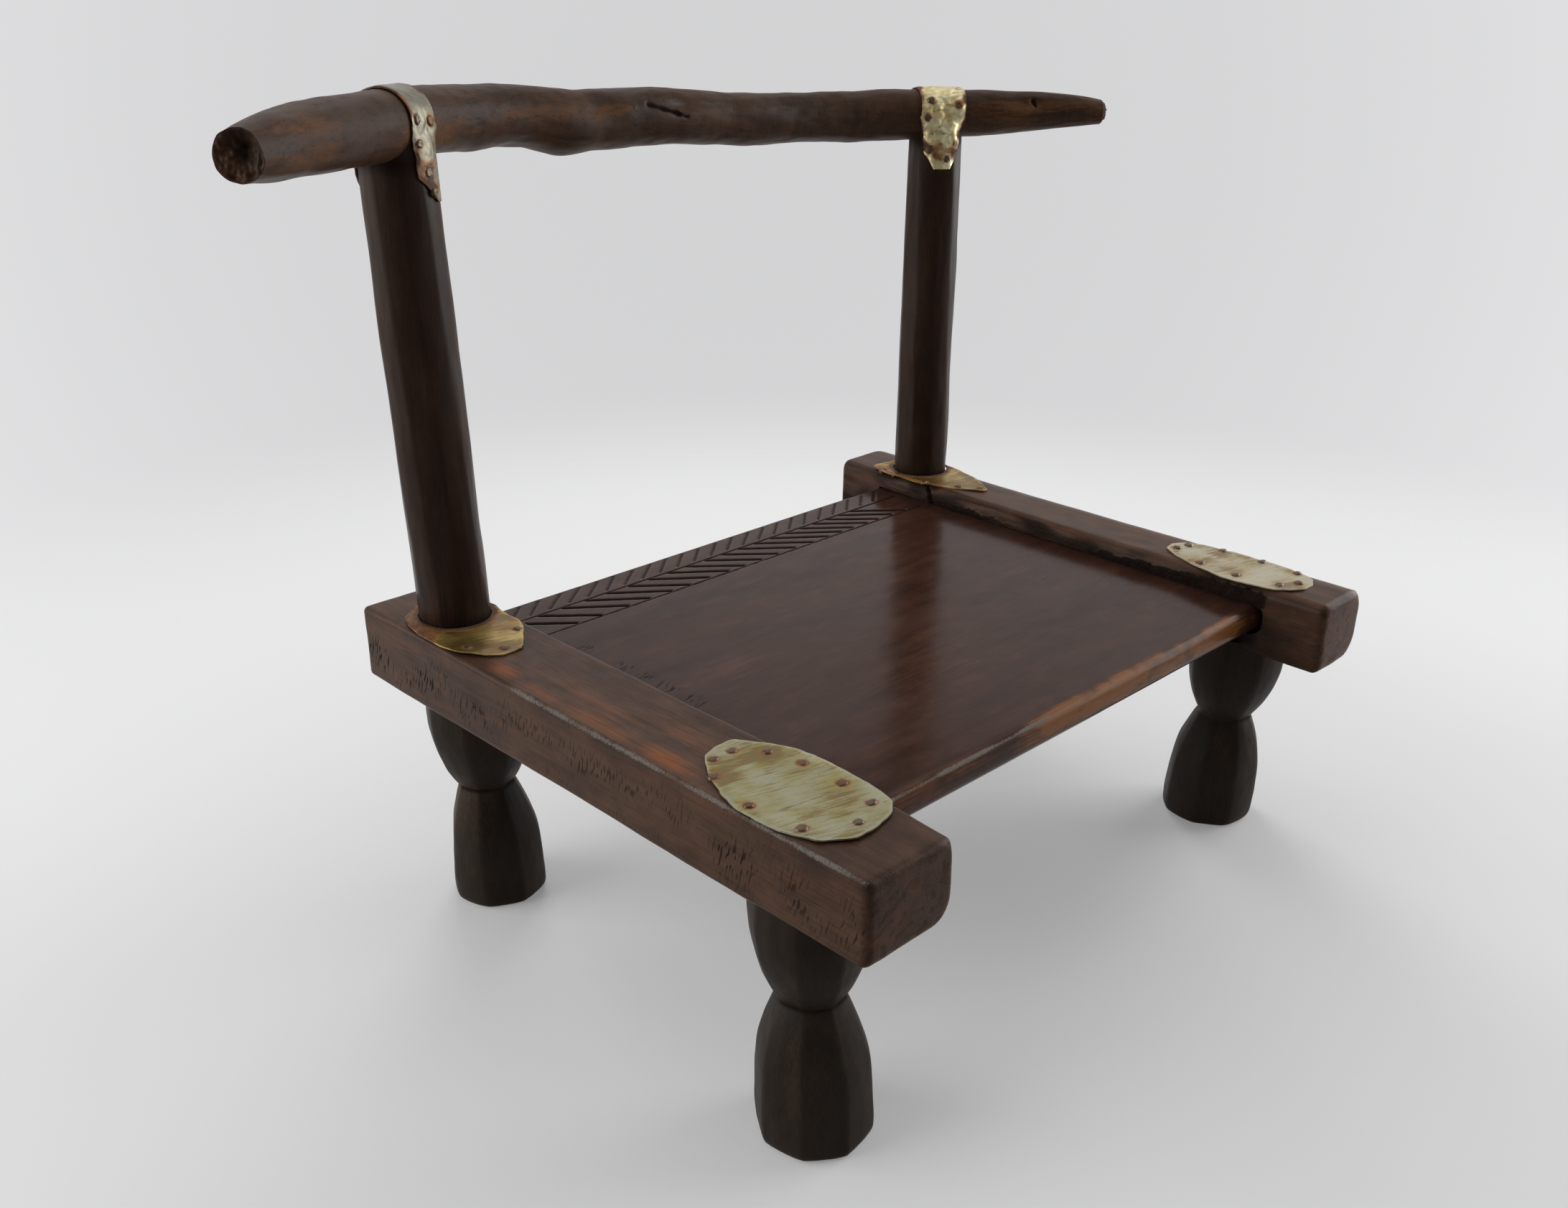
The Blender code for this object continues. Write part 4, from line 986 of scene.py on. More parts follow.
def crack_at(x, angle, radius):
    """1 in the middle of a crack in the branch, and 0 away from it."""
    deepest = 0.0
    for start_x, start_angle, end_x, end_angle in CREST_CRACKS:
        start = Vector((start_x, radians(start_angle) * radius))
        run = Vector((end_x, radians(end_angle) * radius)) - start
        here = Vector((x, angle * radius)) - start
        share = min(max(here.dot(run) / run.length_squared, 0.0), 1.0)
        wander = CRACK_WANDER * noise.noise(Vector((x * 170, start_x, 0)))
        width = CRACK_WIDTH * (1.15 - 0.7 * share)
        deepest = max(deepest, bump((here - run * share).length + wander, width))
    return deepest


def crest_swell(centre, angle, radius):
    """How far the branch's skin stands out from its plain round."""
    x = centre.x - middle_x
    turn = half_turn(angle)
    around = Vector((x * 26, 1.1 * cos(angle), 1.1 * sin(angle)))
    swell = CREST_UNEVEN * noise.noise(around) + 0.35 * CREST_UNEVEN * noise.noise(around * 3.1)
    for lump_x, lump_angle, length, width, height in CREST_LUMPS:
        off = half_turn(turn - radians(lump_angle))
        swell += height * bump(x - lump_x, length) * bump(off, radians(width))
    free = min(smooth_step(abs(x - strap_x), *STRAP_BED) for strap_x in STRAP_PLACES)
    return swell * free - CRACK_DEPTH * crack_at(x, turn, radius)


def crest_skin(share, angle, lift=0.0):
    """A point on the branch; angle 0 faces the front, a quarter turn faces up."""
    centre, _, forward, upward, radius = crest_frame(share)
    reach = radius + crest_swell(centre, angle, radius) + lift
    return centre + reach * (cos(angle) * forward + sin(angle) * upward)


# How far each post's head leans across from its foot
POST_LEANS = {"left_back_post": -0.0115, "right_back_post": 0.0135}
POST_HEAD_RADII = {"left_back_post": 0.0230, "right_back_post": 0.0214}
post_feet = {
    name: level_circle(name, rail_top - LEVEL_SLICE, rail_top + LEVEL_SLICE) for name in POST_LEANS
}
STRAP_PLACES = [post_feet[name][0].x + lean - middle_x for name, lean in POST_LEANS.items()]


def broken_face(scale, angle):
    """How far the broken left end is sunk at a place on its face, and how much painted shade it takes
    there, most in its hollow.
    """
    place = Vector((scale * cos(angle), scale * sin(angle), 0.0))
    hollow = bump((place - BROKEN_HOLLOW_MIDDLE).length, BROKEN_HOLLOW_REACH)
    chips = noise.noise(place * 2.2) + 0.5 * noise.noise(place * 5 + UP)
    inside = smooth_step(1 - scale, *BROKEN_LIP)
    sunk = (BROKEN_HOLLOW * hollow + BROKEN_CHIPS * chips) * inside
    return sunk, inside * (0.06 + 0.44 * hollow + 0.14 * chips)


def split_face(scale, angle):
    """How far the torn fibres of the right end stand out."""
    place = Vector((scale * cos(angle), scale * sin(angle), 3.0))
    fibres = SPLIT_FIBRES * noise.noise(place * 5) * smooth_step(1 - scale, 0.0, 0.2)
    return SPLIT_LENGTH * (1 - scale ** 2) + fibres


def crest_ring(share, scale=1.0, push=None):
    """A ring of the branch's skin, for its ends drawn in to a scale and pushed along the branch."""
    centre, tangent, forward, upward, radius = crest_frame(share)
    ring = []
    for k in range(CREST_SIDES):
        angle = 2 * pi * k / CREST_SIDES
        reach = scale * (radius + crest_swell(centre, angle, radius))
        along = push(scale, angle) if push else 0.0
        ring.append(centre + reach * (cos(angle) * forward + sin(angle) * upward) + tangent * along)
    return ring


crest_rings = [crest_ring(0.0, scale, lambda *at: broken_face(*at)[0]) for scale in reversed(BROKEN_SCALES)]
crest_rings += [crest_ring(k / CREST_RINGS) for k in range(CREST_RINGS + 1)]
crest_rings += [crest_ring(1.0, scale, split_face) for scale in SPLIT_SCALES]
crest_scales = [*reversed(BROKEN_SCALES), *[1.0] * (CREST_RINGS + 1), *SPLIT_SCALES]
crest = loft("crest_branch", crest_rings)


def bark(x, angle, along, around, shift=0.0):
    """Smooth noise on the branch's skin, with its own waves along it and round it."""
    return noise.noise(Vector((x * along, around * cos(angle), around * sin(angle) + shift)))


def scar_sheen(x, angle, turn):
    """Strength of the painted grey sheen on the scars at a place on the branch."""
    scar = max(
        strength * bump(turn - radians(scar_angle), radians(width)) * bump(x - scar_x, length)
        for scar_x, scar_angle, length, width, strength in CREST_SCAR_SHEEN
    )
    return scar * (0.85 + 0.4 * bark(x, angle, 90, 9))


def crest_finishes(piece):
    """Store the branch's own lengthways coordinates and its finishes on its points."""
    grain = []
    finishes = {"wear": [], "crust_and_sheen": [], "hollow": []}
    run = 0.0
    last = None
    lower_end = len(BROKEN_SCALES)
    for row, scale in enumerate(crest_scales):
        share = min(max((row - lower_end) / CREST_RINGS, 0.0), 1.0)
        centre, _, _, _, radius = crest_frame(share)
        run += (centre - last).length if last else 0.0
        last = centre
        x = centre.x - middle_x
        # Worn colour is weaker from the left part on, and stronger again over the right end
        side = 1 - 0.55 * smooth_step(x, *RUBBED_LEFT_PART) + 0.45 * smooth_step(x, *LIGHTER_RIGHT_END)
        around = radius * GRAIN_STRETCH[1] * scale
        for k in range(CREST_SIDES):
            angle = 2 * pi * k / CREST_SIDES
            turn = half_turn(angle)
            grain.extend((run * GRAIN_STRETCH[0], around * cos(angle), around * sin(angle)))
            if row < lower_end:
                wear = BROKEN_WEAR
                crust_and_sheen = BROKEN_RIM * bump(1 - scale, 0.05) * smooth_step(cos(angle), -0.2, 0.6)
                # The broken end's face takes painted shade, deepest in its hollow
                hollow = min(max(broken_face(scale, angle)[1], 0.0), BROKEN_SHADE_LIMIT)
            else:
                rubbed = bark(x, angle, 15, 1.2, 4) + 0.35 * bark(x, angle, 60, 4)
                wear = side * smooth_step(rubbed, -0.25, 0.45) * bump(turn - RUBBED_ANGLE, RUBBED_WIDTH)
                # The scars' grey is a painted sheen, stored with the crust
                crust_and_sheen = scar_sheen(x, angle, turn)
                # The split right end's face takes painted shade
                split_end_shade = SPLIT_END_SHADE if row > lower_end + CREST_RINGS else 0.0
                # The cracks take painted shade
                hollow = max(split_end_shade, CRACK_SHADE * crack_at(x, turn, radius))
            for label, value in (("wear", wear), ("crust_and_sheen", crust_and_sheen), ("hollow", hollow)):
                finishes[label].append(value)
    layer = piece.data.attributes.new("grain", "FLOAT_VECTOR", "POINT")
    layer.data.foreach_set("vector", grain)
    store(piece.data, finishes)
    piece.data.set_sharp_from_angle(angle=SHARP_ANGLE)


crest_finishes(crest)
branch_wood = wood_finish(
    "branch_wood", "grain", deep=(0.048, 0.0255, 0.0150), face=(0.100, 0.051, 0.0285),
    worn=(0.165, 0.074, 0.032), roughness=0.44, shine=0.10, relief=0.0005,
)
finish_piece(crest, branch_wood, "branch_wood", "crest_rail")


# Back posts
# Two round posts, shaved lengthways so that long soft facets show, dark with oil and handling.
# Each is tenoned into its rail, and its head is coped to sit under the branch.
POST_SIDES = 96
POST_RINGS = 160
POST_FACETS = 9
POST_FACET_SHARE = 0.42
POST_FULLNESS = 1.012
POST_BELLY = 0.0006
POST_UNEVEN = 0.0009
POST_TWIST = 1.2
POST_BELOW_RAIL = 0.003
POST_INTO_CREST = 0.35
# Reach of the painted shade where a post meets the rail and the branch
POST_JOINT_SHADE_REACH = 0.006
# A darker band round each post's foot
POST_FOOT_DARK_HEIGHT = 0.016
POST_FOOT_DARK = 0.42
POST_WEAR = 0.34


class Post:
    """A post's straight axis and radius, from its foot in the frame to where it meets the branch."""

    def __init__(self, name):
        self.name = name
        self.low, foot_radius = post_feet[name]
        self.radii = (foot_radius, POST_HEAD_RADII[name])
        share = crest_share_at(self.low.x + POST_LEANS[name])
        self.crossing, self.tangent, self.forward, _, self.crest_radius = crest_frame(share)

    def climb(self, z):
        return (z - self.low.z) / (self.crossing.z - self.low.z)

    def axis(self, z):
        return self.low + (self.crossing - self.low) * self.climb(z)

    def radius(self, z):
        return self.radii[0] + self.climb(z) * (self.radii[1] - self.radii[0])


def make_post(name, post, turn, seed):
    """A shaved post from inside its rail to inside the branch."""
    bottom = rail_top - POST_BELOW_RAIL
    top = post.crossing.z - POST_INTO_CREST * post.crest_radius

    def ring(z, share):
        def reach(angle):
            place = Vector((1.3 * cos(angle), 1.3 * sin(angle), z * 14 + seed))
            shaved = facet(angle + turn + POST_TWIST * z, POST_FACETS, POST_FACET_SHARE)
            full = POST_FULLNESS * post.radius(z) * shaved
            full += POST_BELLY * sin(pi * (z - bottom) / (top - bottom))
            full += POST_UNEVEN * noise.noise(place) + 0.3 * POST_UNEVEN * noise.noise(place * 3)
            return share * full

        return round_ring(post.axis(z), POST_SIDES, reach)

    rings = [ring(bottom, share) for share in reversed(CAP_SHARES)]
    rings += [ring(bottom + (top - bottom) * k / POST_RINGS, 1.0) for k in range(POST_RINGS + 1)]
    rings += [ring(top, share) for share in CAP_SHARES]

    def post_shape(point, normal):
        wear = POST_WEAR * smooth_step(ripple(point + UP * seed, 45, 45, 12), 0.0, 0.50)
        # Painted shade where the post meets the rail and the branch
        foot = bump(point.z - rail_top, POST_JOINT_SHADE_REACH)
        neck = bump(point.z - post.crossing.z + post.crest_radius, POST_JOINT_SHADE_REACH)
        # Darker patches round the post's foot, just above the rail, stored with the pitch
        darkening = POST_FOOT_DARK * bump(point.z - rail_top, POST_FOOT_DARK_HEIGHT)
        darkening *= smooth_step(ripple(point, 60, 60, 30), -0.6, 0.2)
        return 0.0, wear, 0.0, 0.6 * max(foot, neck), darkening

    piece = sculpt(loft(name, rings), post_shape, "wear", "crust_and_sheen", "hollow", "pitch")
    finish_piece(piece, post_wood, "post_wood", post.name)


post_wood = wood_finish(
    "post_wood", GRAIN_ALONG_Z, deep=(0.027, 0.0150, 0.0098), face=(0.049, 0.0260, 0.0160),
    worn=(0.140, 0.061, 0.030), roughness=0.36, shine=0.11, relief=0.0003,
)
left_post = Post("left_back_post")
right_post = Post("right_back_post")
make_post("shaved_post_left", left_post, turn=0.15, seed=1.5)
make_post("shaved_post_right", right_post, turn=0.40, seed=8.2)


# Nails
# Hand-forged iron nails with flat, uneven heads, rusted brown. They hold every piece of sheet
# metal down, so their places are read from the frame first and the sheets are laid under them.
NAIL_HEAD_RADIUS = 0.0037
NAIL_HEAD_HEIGHT = 0.0024
NAIL_SEED = 11
NAIL_TIP_SLICE = 0.0004
RUST_BROWN = (0.085, 0.043, 0.021, 1)
RUST_ORANGE = (0.340, 0.118, 0.026, 1)
STAIN_BROWN = (0.190, 0.118, 0.038, 1)
BRUSHED_TURN = (0, 0, radians(15))
NAIL_RUST = 0.28
NAIL_FLATTENED = 0.80
NAIL_DENT = 0.0011
SMALLEST_NAIL = (0.86, 0.80, 0.80)
LARGEST_NAIL = (1.16, 1.06, 1.25)


def nail_places(sheet):
    """Head middle and outward direction of each nail in a sheet, from the nails' own nodes."""
    places = []
    names = sorted(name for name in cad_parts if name.startswith(sheet + "_nail_"))
    for name in names:
        points = np.array([v.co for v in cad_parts[name].data.vertices])
        middle = points.mean(0)
        away = np.linalg.norm(points - middle, axis=1)
        tip = points[away > away.max() - NAIL_TIP_SLICE].mean(0)
        direction = (middle - tip) / np.linalg.norm(middle - tip)
        top = ((points - tip) @ direction).max()
        places.append((Vector(tip + direction * (top - NAIL_HEAD_HEIGHT)), Vector(direction)))
    return names, places


def make_aged_sheet():
    """Thin yellow metal: brushed and tarnished, with rust round the nails and along the edges."""
    tree, given, result = open_tree(
        "aged_sheet", "ShaderNodeTree",
        {
            "Place": VECTOR, "Bright Colour": COLOUR, "Tarnish Colour": COLOUR, "Rust": VALUE,
            "Stain": VALUE, "Stain Here": VALUE,
        },
        {"Colour": COLOUR, "Roughness": VALUE, "Metallic": VALUE, "Height": VALUE},
    )
    place = given["Place"]
    turned = node(tree, "ShaderNodeMapping", {"Vector": place, "Rotation": BRUSHED_TURN})
    streaks = turned.cloud((60, 520, 300), 4, 0.6)
    smears = turned.cloud((26, 75, 75), 4, 0.62)
    blotches = place.cloud((62, 62, 62), 5, 0.62)
    specks = place.cloud((480, 480, 480), 3)
    stain = given["Stain"] + given["Stain Here"]
    tone = streaks * 0.55 + blotches * 0.60
    colour = (tone + stain).rise(0.46, 0.82).blend(given["Bright Colour"], given["Tarnish Colour"])
    smeared = (smears + (streaks - 0.5) * 0.9 + stain * 1.3).rise(0.58, 0.88)
    colour = (smeared * 0.85).blend(colour, STAIN_BROWN)
    near = given["Rust"] * (blotches * 1.7 + 0.05)
    orange = near.rise(0.22, 0.55)
    brown = (near + (specks - 0.5) * 0.5).rise(0.38, 0.72)
    colour = (orange * 0.85).blend(colour, RUST_ORANGE)
    colour = (brown * 0.92).blend(colour, RUST_BROWN)
    rusted = (orange * 0.6).most(brown)
    feed(result, {
        "Colour": (specks.rise(0.66, 0.74) * 0.5).blend(colour, RUST_BROWN),
        "Roughness": rusted * 0.32 + tone * 0.62,
        "Metallic": 0.65 - rusted * 0.60,
        "Height": streaks * 0.30 + blotches * 0.25 + rusted * specks * 0.9,
    })
    return tree


aged_sheet = make_aged_sheet()


def sheet_finish(name, bright, tarnish, stain, relief):
    """One sheet's metal, with its own colours and its rust stored on its points."""
    material = bpy.data.materials.new(name)
    material.use_nodes = True
    tree = material.node_tree
    metal = node(
        tree, "ShaderNodeGroup",
        {
            "Place": node(tree, "ShaderNodeTexCoord", None, "Object"), "Bright Colour": (*bright, 1),
            "Tarnish Colour": (*tarnish, 1), "Rust": stored(tree, "rust"), "Stain": stain,
            "Stain Here": stored(tree, "stain"),
        },
        node_tree=aged_sheet,
    )
    dress(tree, metal, relief, {"Metallic": metal["Metallic"]})
    return material


def nail_tree():
    """Geometry nodes that set one uneven, hammered head on each point, along its stored direction."""
    tree, given, result = open_tree(
        "driven_nails", "GeometryNodeTree",
        {"Places": GEOMETRY, "Head Radius": VALUE, "Head Height": VALUE, "Seed": WHOLE, "Finish": FINISH},
        {"Heads": GEOMETRY},
    )
    ball = node(tree, "GeometryNodeMeshUVSphere", {"Segments": 20, "Rings": 12, "Radius": 1.0})
    place = node(tree, "GeometryNodeInputPosition")
    parts = node(tree, "ShaderNodeSeparateXYZ", {0: place})
    flat = parts.calc("MINIMUM", parts["Z"], NAIL_FLATTENED) * given["Head Height"]
    radius = given["Head Radius"]
    shaped = node(tree, "ShaderNodeCombineXYZ", {0: parts["X"] * radius, 1: parts["Y"] * radius, 2: flat})
    head = node(tree, "GeometryNodeSetPosition", {"Geometry": ball, "Position": shaped})
    aim = node(tree, "GeometryNodeInputNamedAttribute", {"Name": "aim"}, data_type="FLOAT_VECTOR")
    turned = node(tree, "FunctionNodeAlignRotationToVector", {"Vector": aim}, axis="Z")
    uneven = {0: SMALLEST_NAIL, 1: LARGEST_NAIL, 8: given["Seed"]}
    uneven = node(tree, "FunctionNodeRandomValue", uneven, data_type="FLOAT_VECTOR")
    sockets = {"Points": given["Places"], "Instance": head, "Rotation": turned, "Scale": uneven}
    heads = node(tree, "GeometryNodeInstanceOnPoints", sockets)
    heads = node(tree, "GeometryNodeRealizeInstances", {0: heads})
    dents = node(tree, "ShaderNodeTexNoise", {"Vector": place, "Scale": 420.0, "Detail": 1.0}, "Color")
    dents = node(tree, "ShaderNodeVectorMath", {0: dents, 1: (0.5, 0.5, 0.5)}, operation="SUBTRACT")
    dents = node(tree, "ShaderNodeVectorMath", {0: dents, "Scale": NAIL_DENT}, operation="SCALE")
    heads = node(tree, "GeometryNodeSetPosition", {"Geometry": heads, "Offset": dents})
    heads = node(tree, "GeometryNodeSetShadeSmooth", {"Geometry": heads})
    heads = node(tree, "GeometryNodeSetMaterial", {"Geometry": heads, "Material": given["Finish"]})
    feed(result, {"Heads": heads})
    return tree


nails = nail_tree()
nail_iron = sheet_finish(
    "nail_iron", bright=(0.140, 0.100, 0.064), tarnish=(0.058, 0.040, 0.027), stain=0.05, relief=0.0006,
)


def drive_nails(sheet, sink):
    """Nail heads for one sheet, as one mesh that stands for its nail nodes."""
    names, places = nail_places(sheet)
    name = sheet + "_nail_heads"
    mesh = bpy.data.meshes.new(name)
    mesh.from_pydata([point - direction * sink for point, direction in places], [], [])
    aim = mesh.attributes.new("aim", "FLOAT_VECTOR", "POINT")
    aim.data.foreach_set("vector", [part for _, direction in places for part in direction])
    heads = bpy.data.objects.new(name, mesh)
    bpy.context.collection.objects.link(heads)
    run_tree(
        heads, nails, Head_Radius=NAIL_HEAD_RADIUS, Head_Height=NAIL_HEAD_HEIGHT,
        Seed=NAIL_SEED + len(places), Finish=nail_iron,
    )
    store(heads.data, {"rust": [NAIL_RUST] * len(heads.data.vertices)})
    finish_piece(heads, nail_iron, "nail_iron", *names)


# Plates and collars
# Sheet metal snipped to shape by hand: a plate over each front leg's joint, and a collar that
# is slipped round each post. They are hammered flat on the rails and nailed near their edges.
SHEET_THICKNESS = 0.0009
SHEET_GRID = 0.0020
SHEET_LIFT = 0.0004
SHEET_WAVE = 0.0004
EDGE_LIFT = 0.0006
NAIL_RUST_REACH = 0.0052
EDGE_RUST_REACH = 0.0020
NAIL_STAIN_REACH = 0.015
EDGE_STAIN_REACH = 0.010
MIDDLE_BRIGHTER = 0.06
# A painted glint along the sheets' cut edges
EDGE_GLINT = 0.25
EDGE_GLINT_REACH = 0.0012
HELD_REACH = 0.006
CURL_REACH = 0.003
HOLE_RUST_REACH = 0.006
RAGGED_EDGE = 0.0005
RAGGED_WAVES = 160
CORNER_CLIP = 0.10
HOLE_POINTS = 40
HOLE_CLEARANCE = 0.0012
SHEET_NAIL_SINK = 0.0004
LEFT_FLAP_LIFT = 0.0016
LEFT_FLAP_RUN = 0.016
LEFT_FLAP_REACH = 0.065
LEFT_FLAP_LIMIT = radians(224)
LEFT_FLAP_EDGE = (-0.003, 0.004)
LEFT_FLAP_RUST = 0.60
RIGHT_FLAP_LIFT = 0.0026
RIGHT_FLAP_OVER_RAIL = 0.005
RIGHT_FLAP_RUN = 0.010
RIGHT_FLAP_REACH = 0.075
RIGHT_FLAP_RUST = 0.52
RIGHT_RUST_START = (115, 130)
RIGHT_RUST_END = (240, 252)
RIGHT_RUST_NARROWS = (195, 232)
RIGHT_RUST_FROM_POST = 0.006
RIGHT_RUST_FARTHER = 0.014
RIGHT_RUST_FADE = 0.004
PLATE_LENGTHS = {"front_left_plate": 0.120, "front_right_plate": 0.118}
PLATE_MIDDLES = {"front_left_plate": 0.095, "front_right_plate": 0.098}
# Corners of the plates as shares of half their width and half their length
LEFT_PLATE_CORNERS = (
    (-0.21, 0.95), (0.13, 1.01), (0.42, 1.01), (0.55, 0.99), (0.74, 0.83), (0.93, 0.67), (1.07, 0.46),
    (1.13, 0.20), (1.14, -0.20), (1.11, -0.46), (1.05, -0.68), (0.98, -0.83), (0.70, -0.97), (0.17, -1.04),
    (-0.27, -1.04), (-0.72, -0.85), (-0.95, -0.51), (-0.98, -0.25), (-0.97, 0.05), (-0.86, 0.30),
    (-0.54, 0.69),
)
RIGHT_PLATE_CORNERS = (
    (-0.33, 0.95), (0.05, 0.99), (0.38, 0.90), (0.56, 0.74), (0.66, 0.48), (0.72, 0.12), (0.73, -0.24),
    (0.68, -0.56), (0.58, -0.78), (0.40, -0.93), (0.12, -1.00), (-0.30, -1.00), (-0.66, -0.91),
    (-0.92, -0.74), (-1.02, -0.52), (-1.10, -0.30), (-1.11, -0.08), (-0.98, 0.22), (-0.84, 0.47),
    (-0.61, 0.75),
)
# Corners of the collars: angle round the post in degrees, and distance from it
LEFT_COLLAR_CORNERS = (
    (202, 0.0175), (216, 0.0236), (228, 0.0335), (240, 0.0430), (253, 0.0525), (260, 0.0550), (272, 0.0525),
    (294, 0.0300), (303, 0.0236), (313, 0.0140), (330, 0.0068), (345, 0.0060), (30, 0.0077), (69, 0.0087),
    (110, 0.0083), (150, 0.0095), (177, 0.0115),
)
RIGHT_COLLAR_CORNERS = (
    (128, 0.0185), (148, 0.0165), (172, 0.0165), (190, 0.0158), (209, 0.0215), (224, 0.0300), (240, 0.0310),
    (247, 0.0365), (256, 0.0455), (264, 0.0570), (268, 0.0565), (273, 0.0470), (285, 0.0300), (303, 0.0130),
    (323, 0.0036), (0, 0.0032), (42, 0.0040), (84, 0.0067),
)


def soften(corners):
    """Clip the corners of a closed outline."""
    clipped = []
    for a, b in zip(corners, corners[1:] + corners[:1]):
        clipped += [a.lerp(b, CORNER_CLIP), a.lerp(b, 1 - CORNER_CLIP)]
    return clipped


def along_outline(corners, step):
    """Points spaced along a closed outline."""
    points = []
    for a, b in zip(corners, corners[1:] + corners[:1]):
        count = max(round((b - a).length / step), 1)
        points += [a.lerp(b, k / count) for k in range(count)]
    return points


def edge_distance(point, outline):
    """Distance from a point to a closed outline, negative outside it."""
    nearest = 1.0
    inside = False
    for a, b in zip(outline, outline[1:] + outline[:1]):
        run = b - a
        share = min(max((point - a).dot(run) / max(run.length_squared, 1e-12), 0.0), 1.0)
        nearest = min(nearest, (point - a - run * share).length)
        if (a.y > point.y) != (b.y > point.y) and point.x < a.x + run.x * (point.y - a.y) / run.y:
            inside = not inside
    return nearest if inside else -nearest


def near_nails(point, spots, reach):
    """1 at a nail, and nearly 0 past twice the reach from the nearest one."""
    return max(bump((point - spot).length, reach) for spot in spots)


def sheet_noise(point, layer, waves):
    """Smooth noise on a flat sheet, different for each layer."""
    return noise.noise(Vector((*point, layer)) * waves)


def finish_sheet(sheet, finishes, sharp_angle, material, node_name, nail_sink):
    """Store a sheet's finishes, give it its thickness and material, and nail it down."""
    store(sheet.data, finishes)
    thickness = sheet.modifiers.new("thickness", "SOLIDIFY")
    thickness.thickness = SHEET_THICKNESS
    thickness.offset = 1.0
    keep_evaluated(sheet)
    sheet.data.set_sharp_from_angle(angle=sharp_angle)
    finish_piece(sheet, material, "sheet_metal", node_name)
    drive_nails(node_name, nail_sink)


def fill_sheet(outline, hole):
    """Points and faces of a flat sheet: its outline filled with a fine grid, less a round hole."""

    def off_hole(point):
        return (point - hole[0]).length - hole[1] if hole else 1.0

    def loop(start, count):
        return [(start + k, start + (k + 1) % count) for k in range(count)]

    points = list(outline)
    low_x, low_y = (min(point[axis] for point in outline) for axis in (0, 1))
    high_x, high_y = (max(point[axis] for point in outline) for axis in (0, 1))
    for i in range(int((high_x - low_x) / SHEET_GRID) + 1):
        for j in range(int((high_y - low_y) / SHEET_GRID) + 1):
            point = Vector((low_x + i * SHEET_GRID, low_y + (j + 0.5 * (i % 2)) * SHEET_GRID))
            if off_hole(point) > 0.4 * SHEET_GRID and edge_distance(point, outline) > 0.6 * SHEET_GRID:
                points.append(point)
    loops = loop(0, len(outline))
    if hole:
        start = len(points)
        turns = [2 * pi * k / HOLE_POINTS for k in range(HOLE_POINTS)]
        rim = [hole[0] + Vector((cos(turn), sin(turn))) * hole[1] for turn in turns]
        points += [point for point in rim if edge_distance(point, outline) > 0]
        loops += loop(start, len(points) - start)
    flat, _, faces, *_ = delaunay_2d_cdt(points, loops, [], 1, 1e-6)
    middles = [sum((flat[k] for k in face), Vector((0, 0))) / len(face) for face in faces]
    gaps = [off_hole(point) for point in flat]
    return flat, gaps, [face for face, middle in zip(faces, middles) if off_hole(middle) > 0]


def make_sheet(name, node_name, corners, hole, lifted, material):
    """A sheet on a rail: ragged, waved a little, and rusted and stained at its nails and edges."""
    outline = []
    for point in along_outline(soften(corners), SHEET_GRID):
        shake = [sheet_noise(point, layer, RAGGED_WAVES) for layer in (0, 5)]
        outline.append(point + Vector(shake) * RAGGED_EDGE)
    flat, gaps, faces = fill_sheet(outline, hole)
    spots = [Vector(point.xy) for point, _ in nail_places(node_name)[1]]
    places = []
    rust = []
    stain = []
    for point, gap in zip(flat, gaps):
        edge = max(edge_distance(point, outline), 0.0)
        wave = SHEET_WAVE * (0.5 + sheet_noise(point, 2, 55))
        curl = EDGE_LIFT * bump(edge, CURL_REACH) * (0.6 + sheet_noise(point, 9, 45))
        free = 1 - near_nails(point, spots, HELD_REACH)
        height = SHEET_LIFT + (max(wave, 0.0) + max(curl, 0.0)) * free + lifted(point)
        places.append((point.x, point.y, rail_top + height))
        patch = rust_patch(point)
        rust.append(max(
            0.80 * near_nails(point, spots, NAIL_RUST_REACH), 0.18 * bump(edge, EDGE_RUST_REACH),
            0.90 * bump(gap, HOLE_RUST_REACH), patch,
        ))
        stained = max(
            0.55 * near_nails(point, spots, NAIL_STAIN_REACH), 0.40 * bump(edge, EDGE_STAIN_REACH),
        )
        # A painted glint along the cut edge lightens its colour, except on rust patches
        bare_wood_and_edge_glint = EDGE_GLINT * (1 - patch) * bump(edge, EDGE_GLINT_REACH)
        stain.append((0.5 + sheet_noise(point, 4, 38)) * stained - MIDDLE_BRIGHTER - bare_wood_and_edge_glint)
    sheet = add_piece(name, places, faces)
    if sheet.data.polygons[0].normal.z < 0:
        sheet.data.flip_normals()
    finishes = {"rust": rust, "stain": stain}
    finish_sheet(sheet, finishes, SHARP_ANGLE, material, node_name, SHEET_NAIL_SINK)


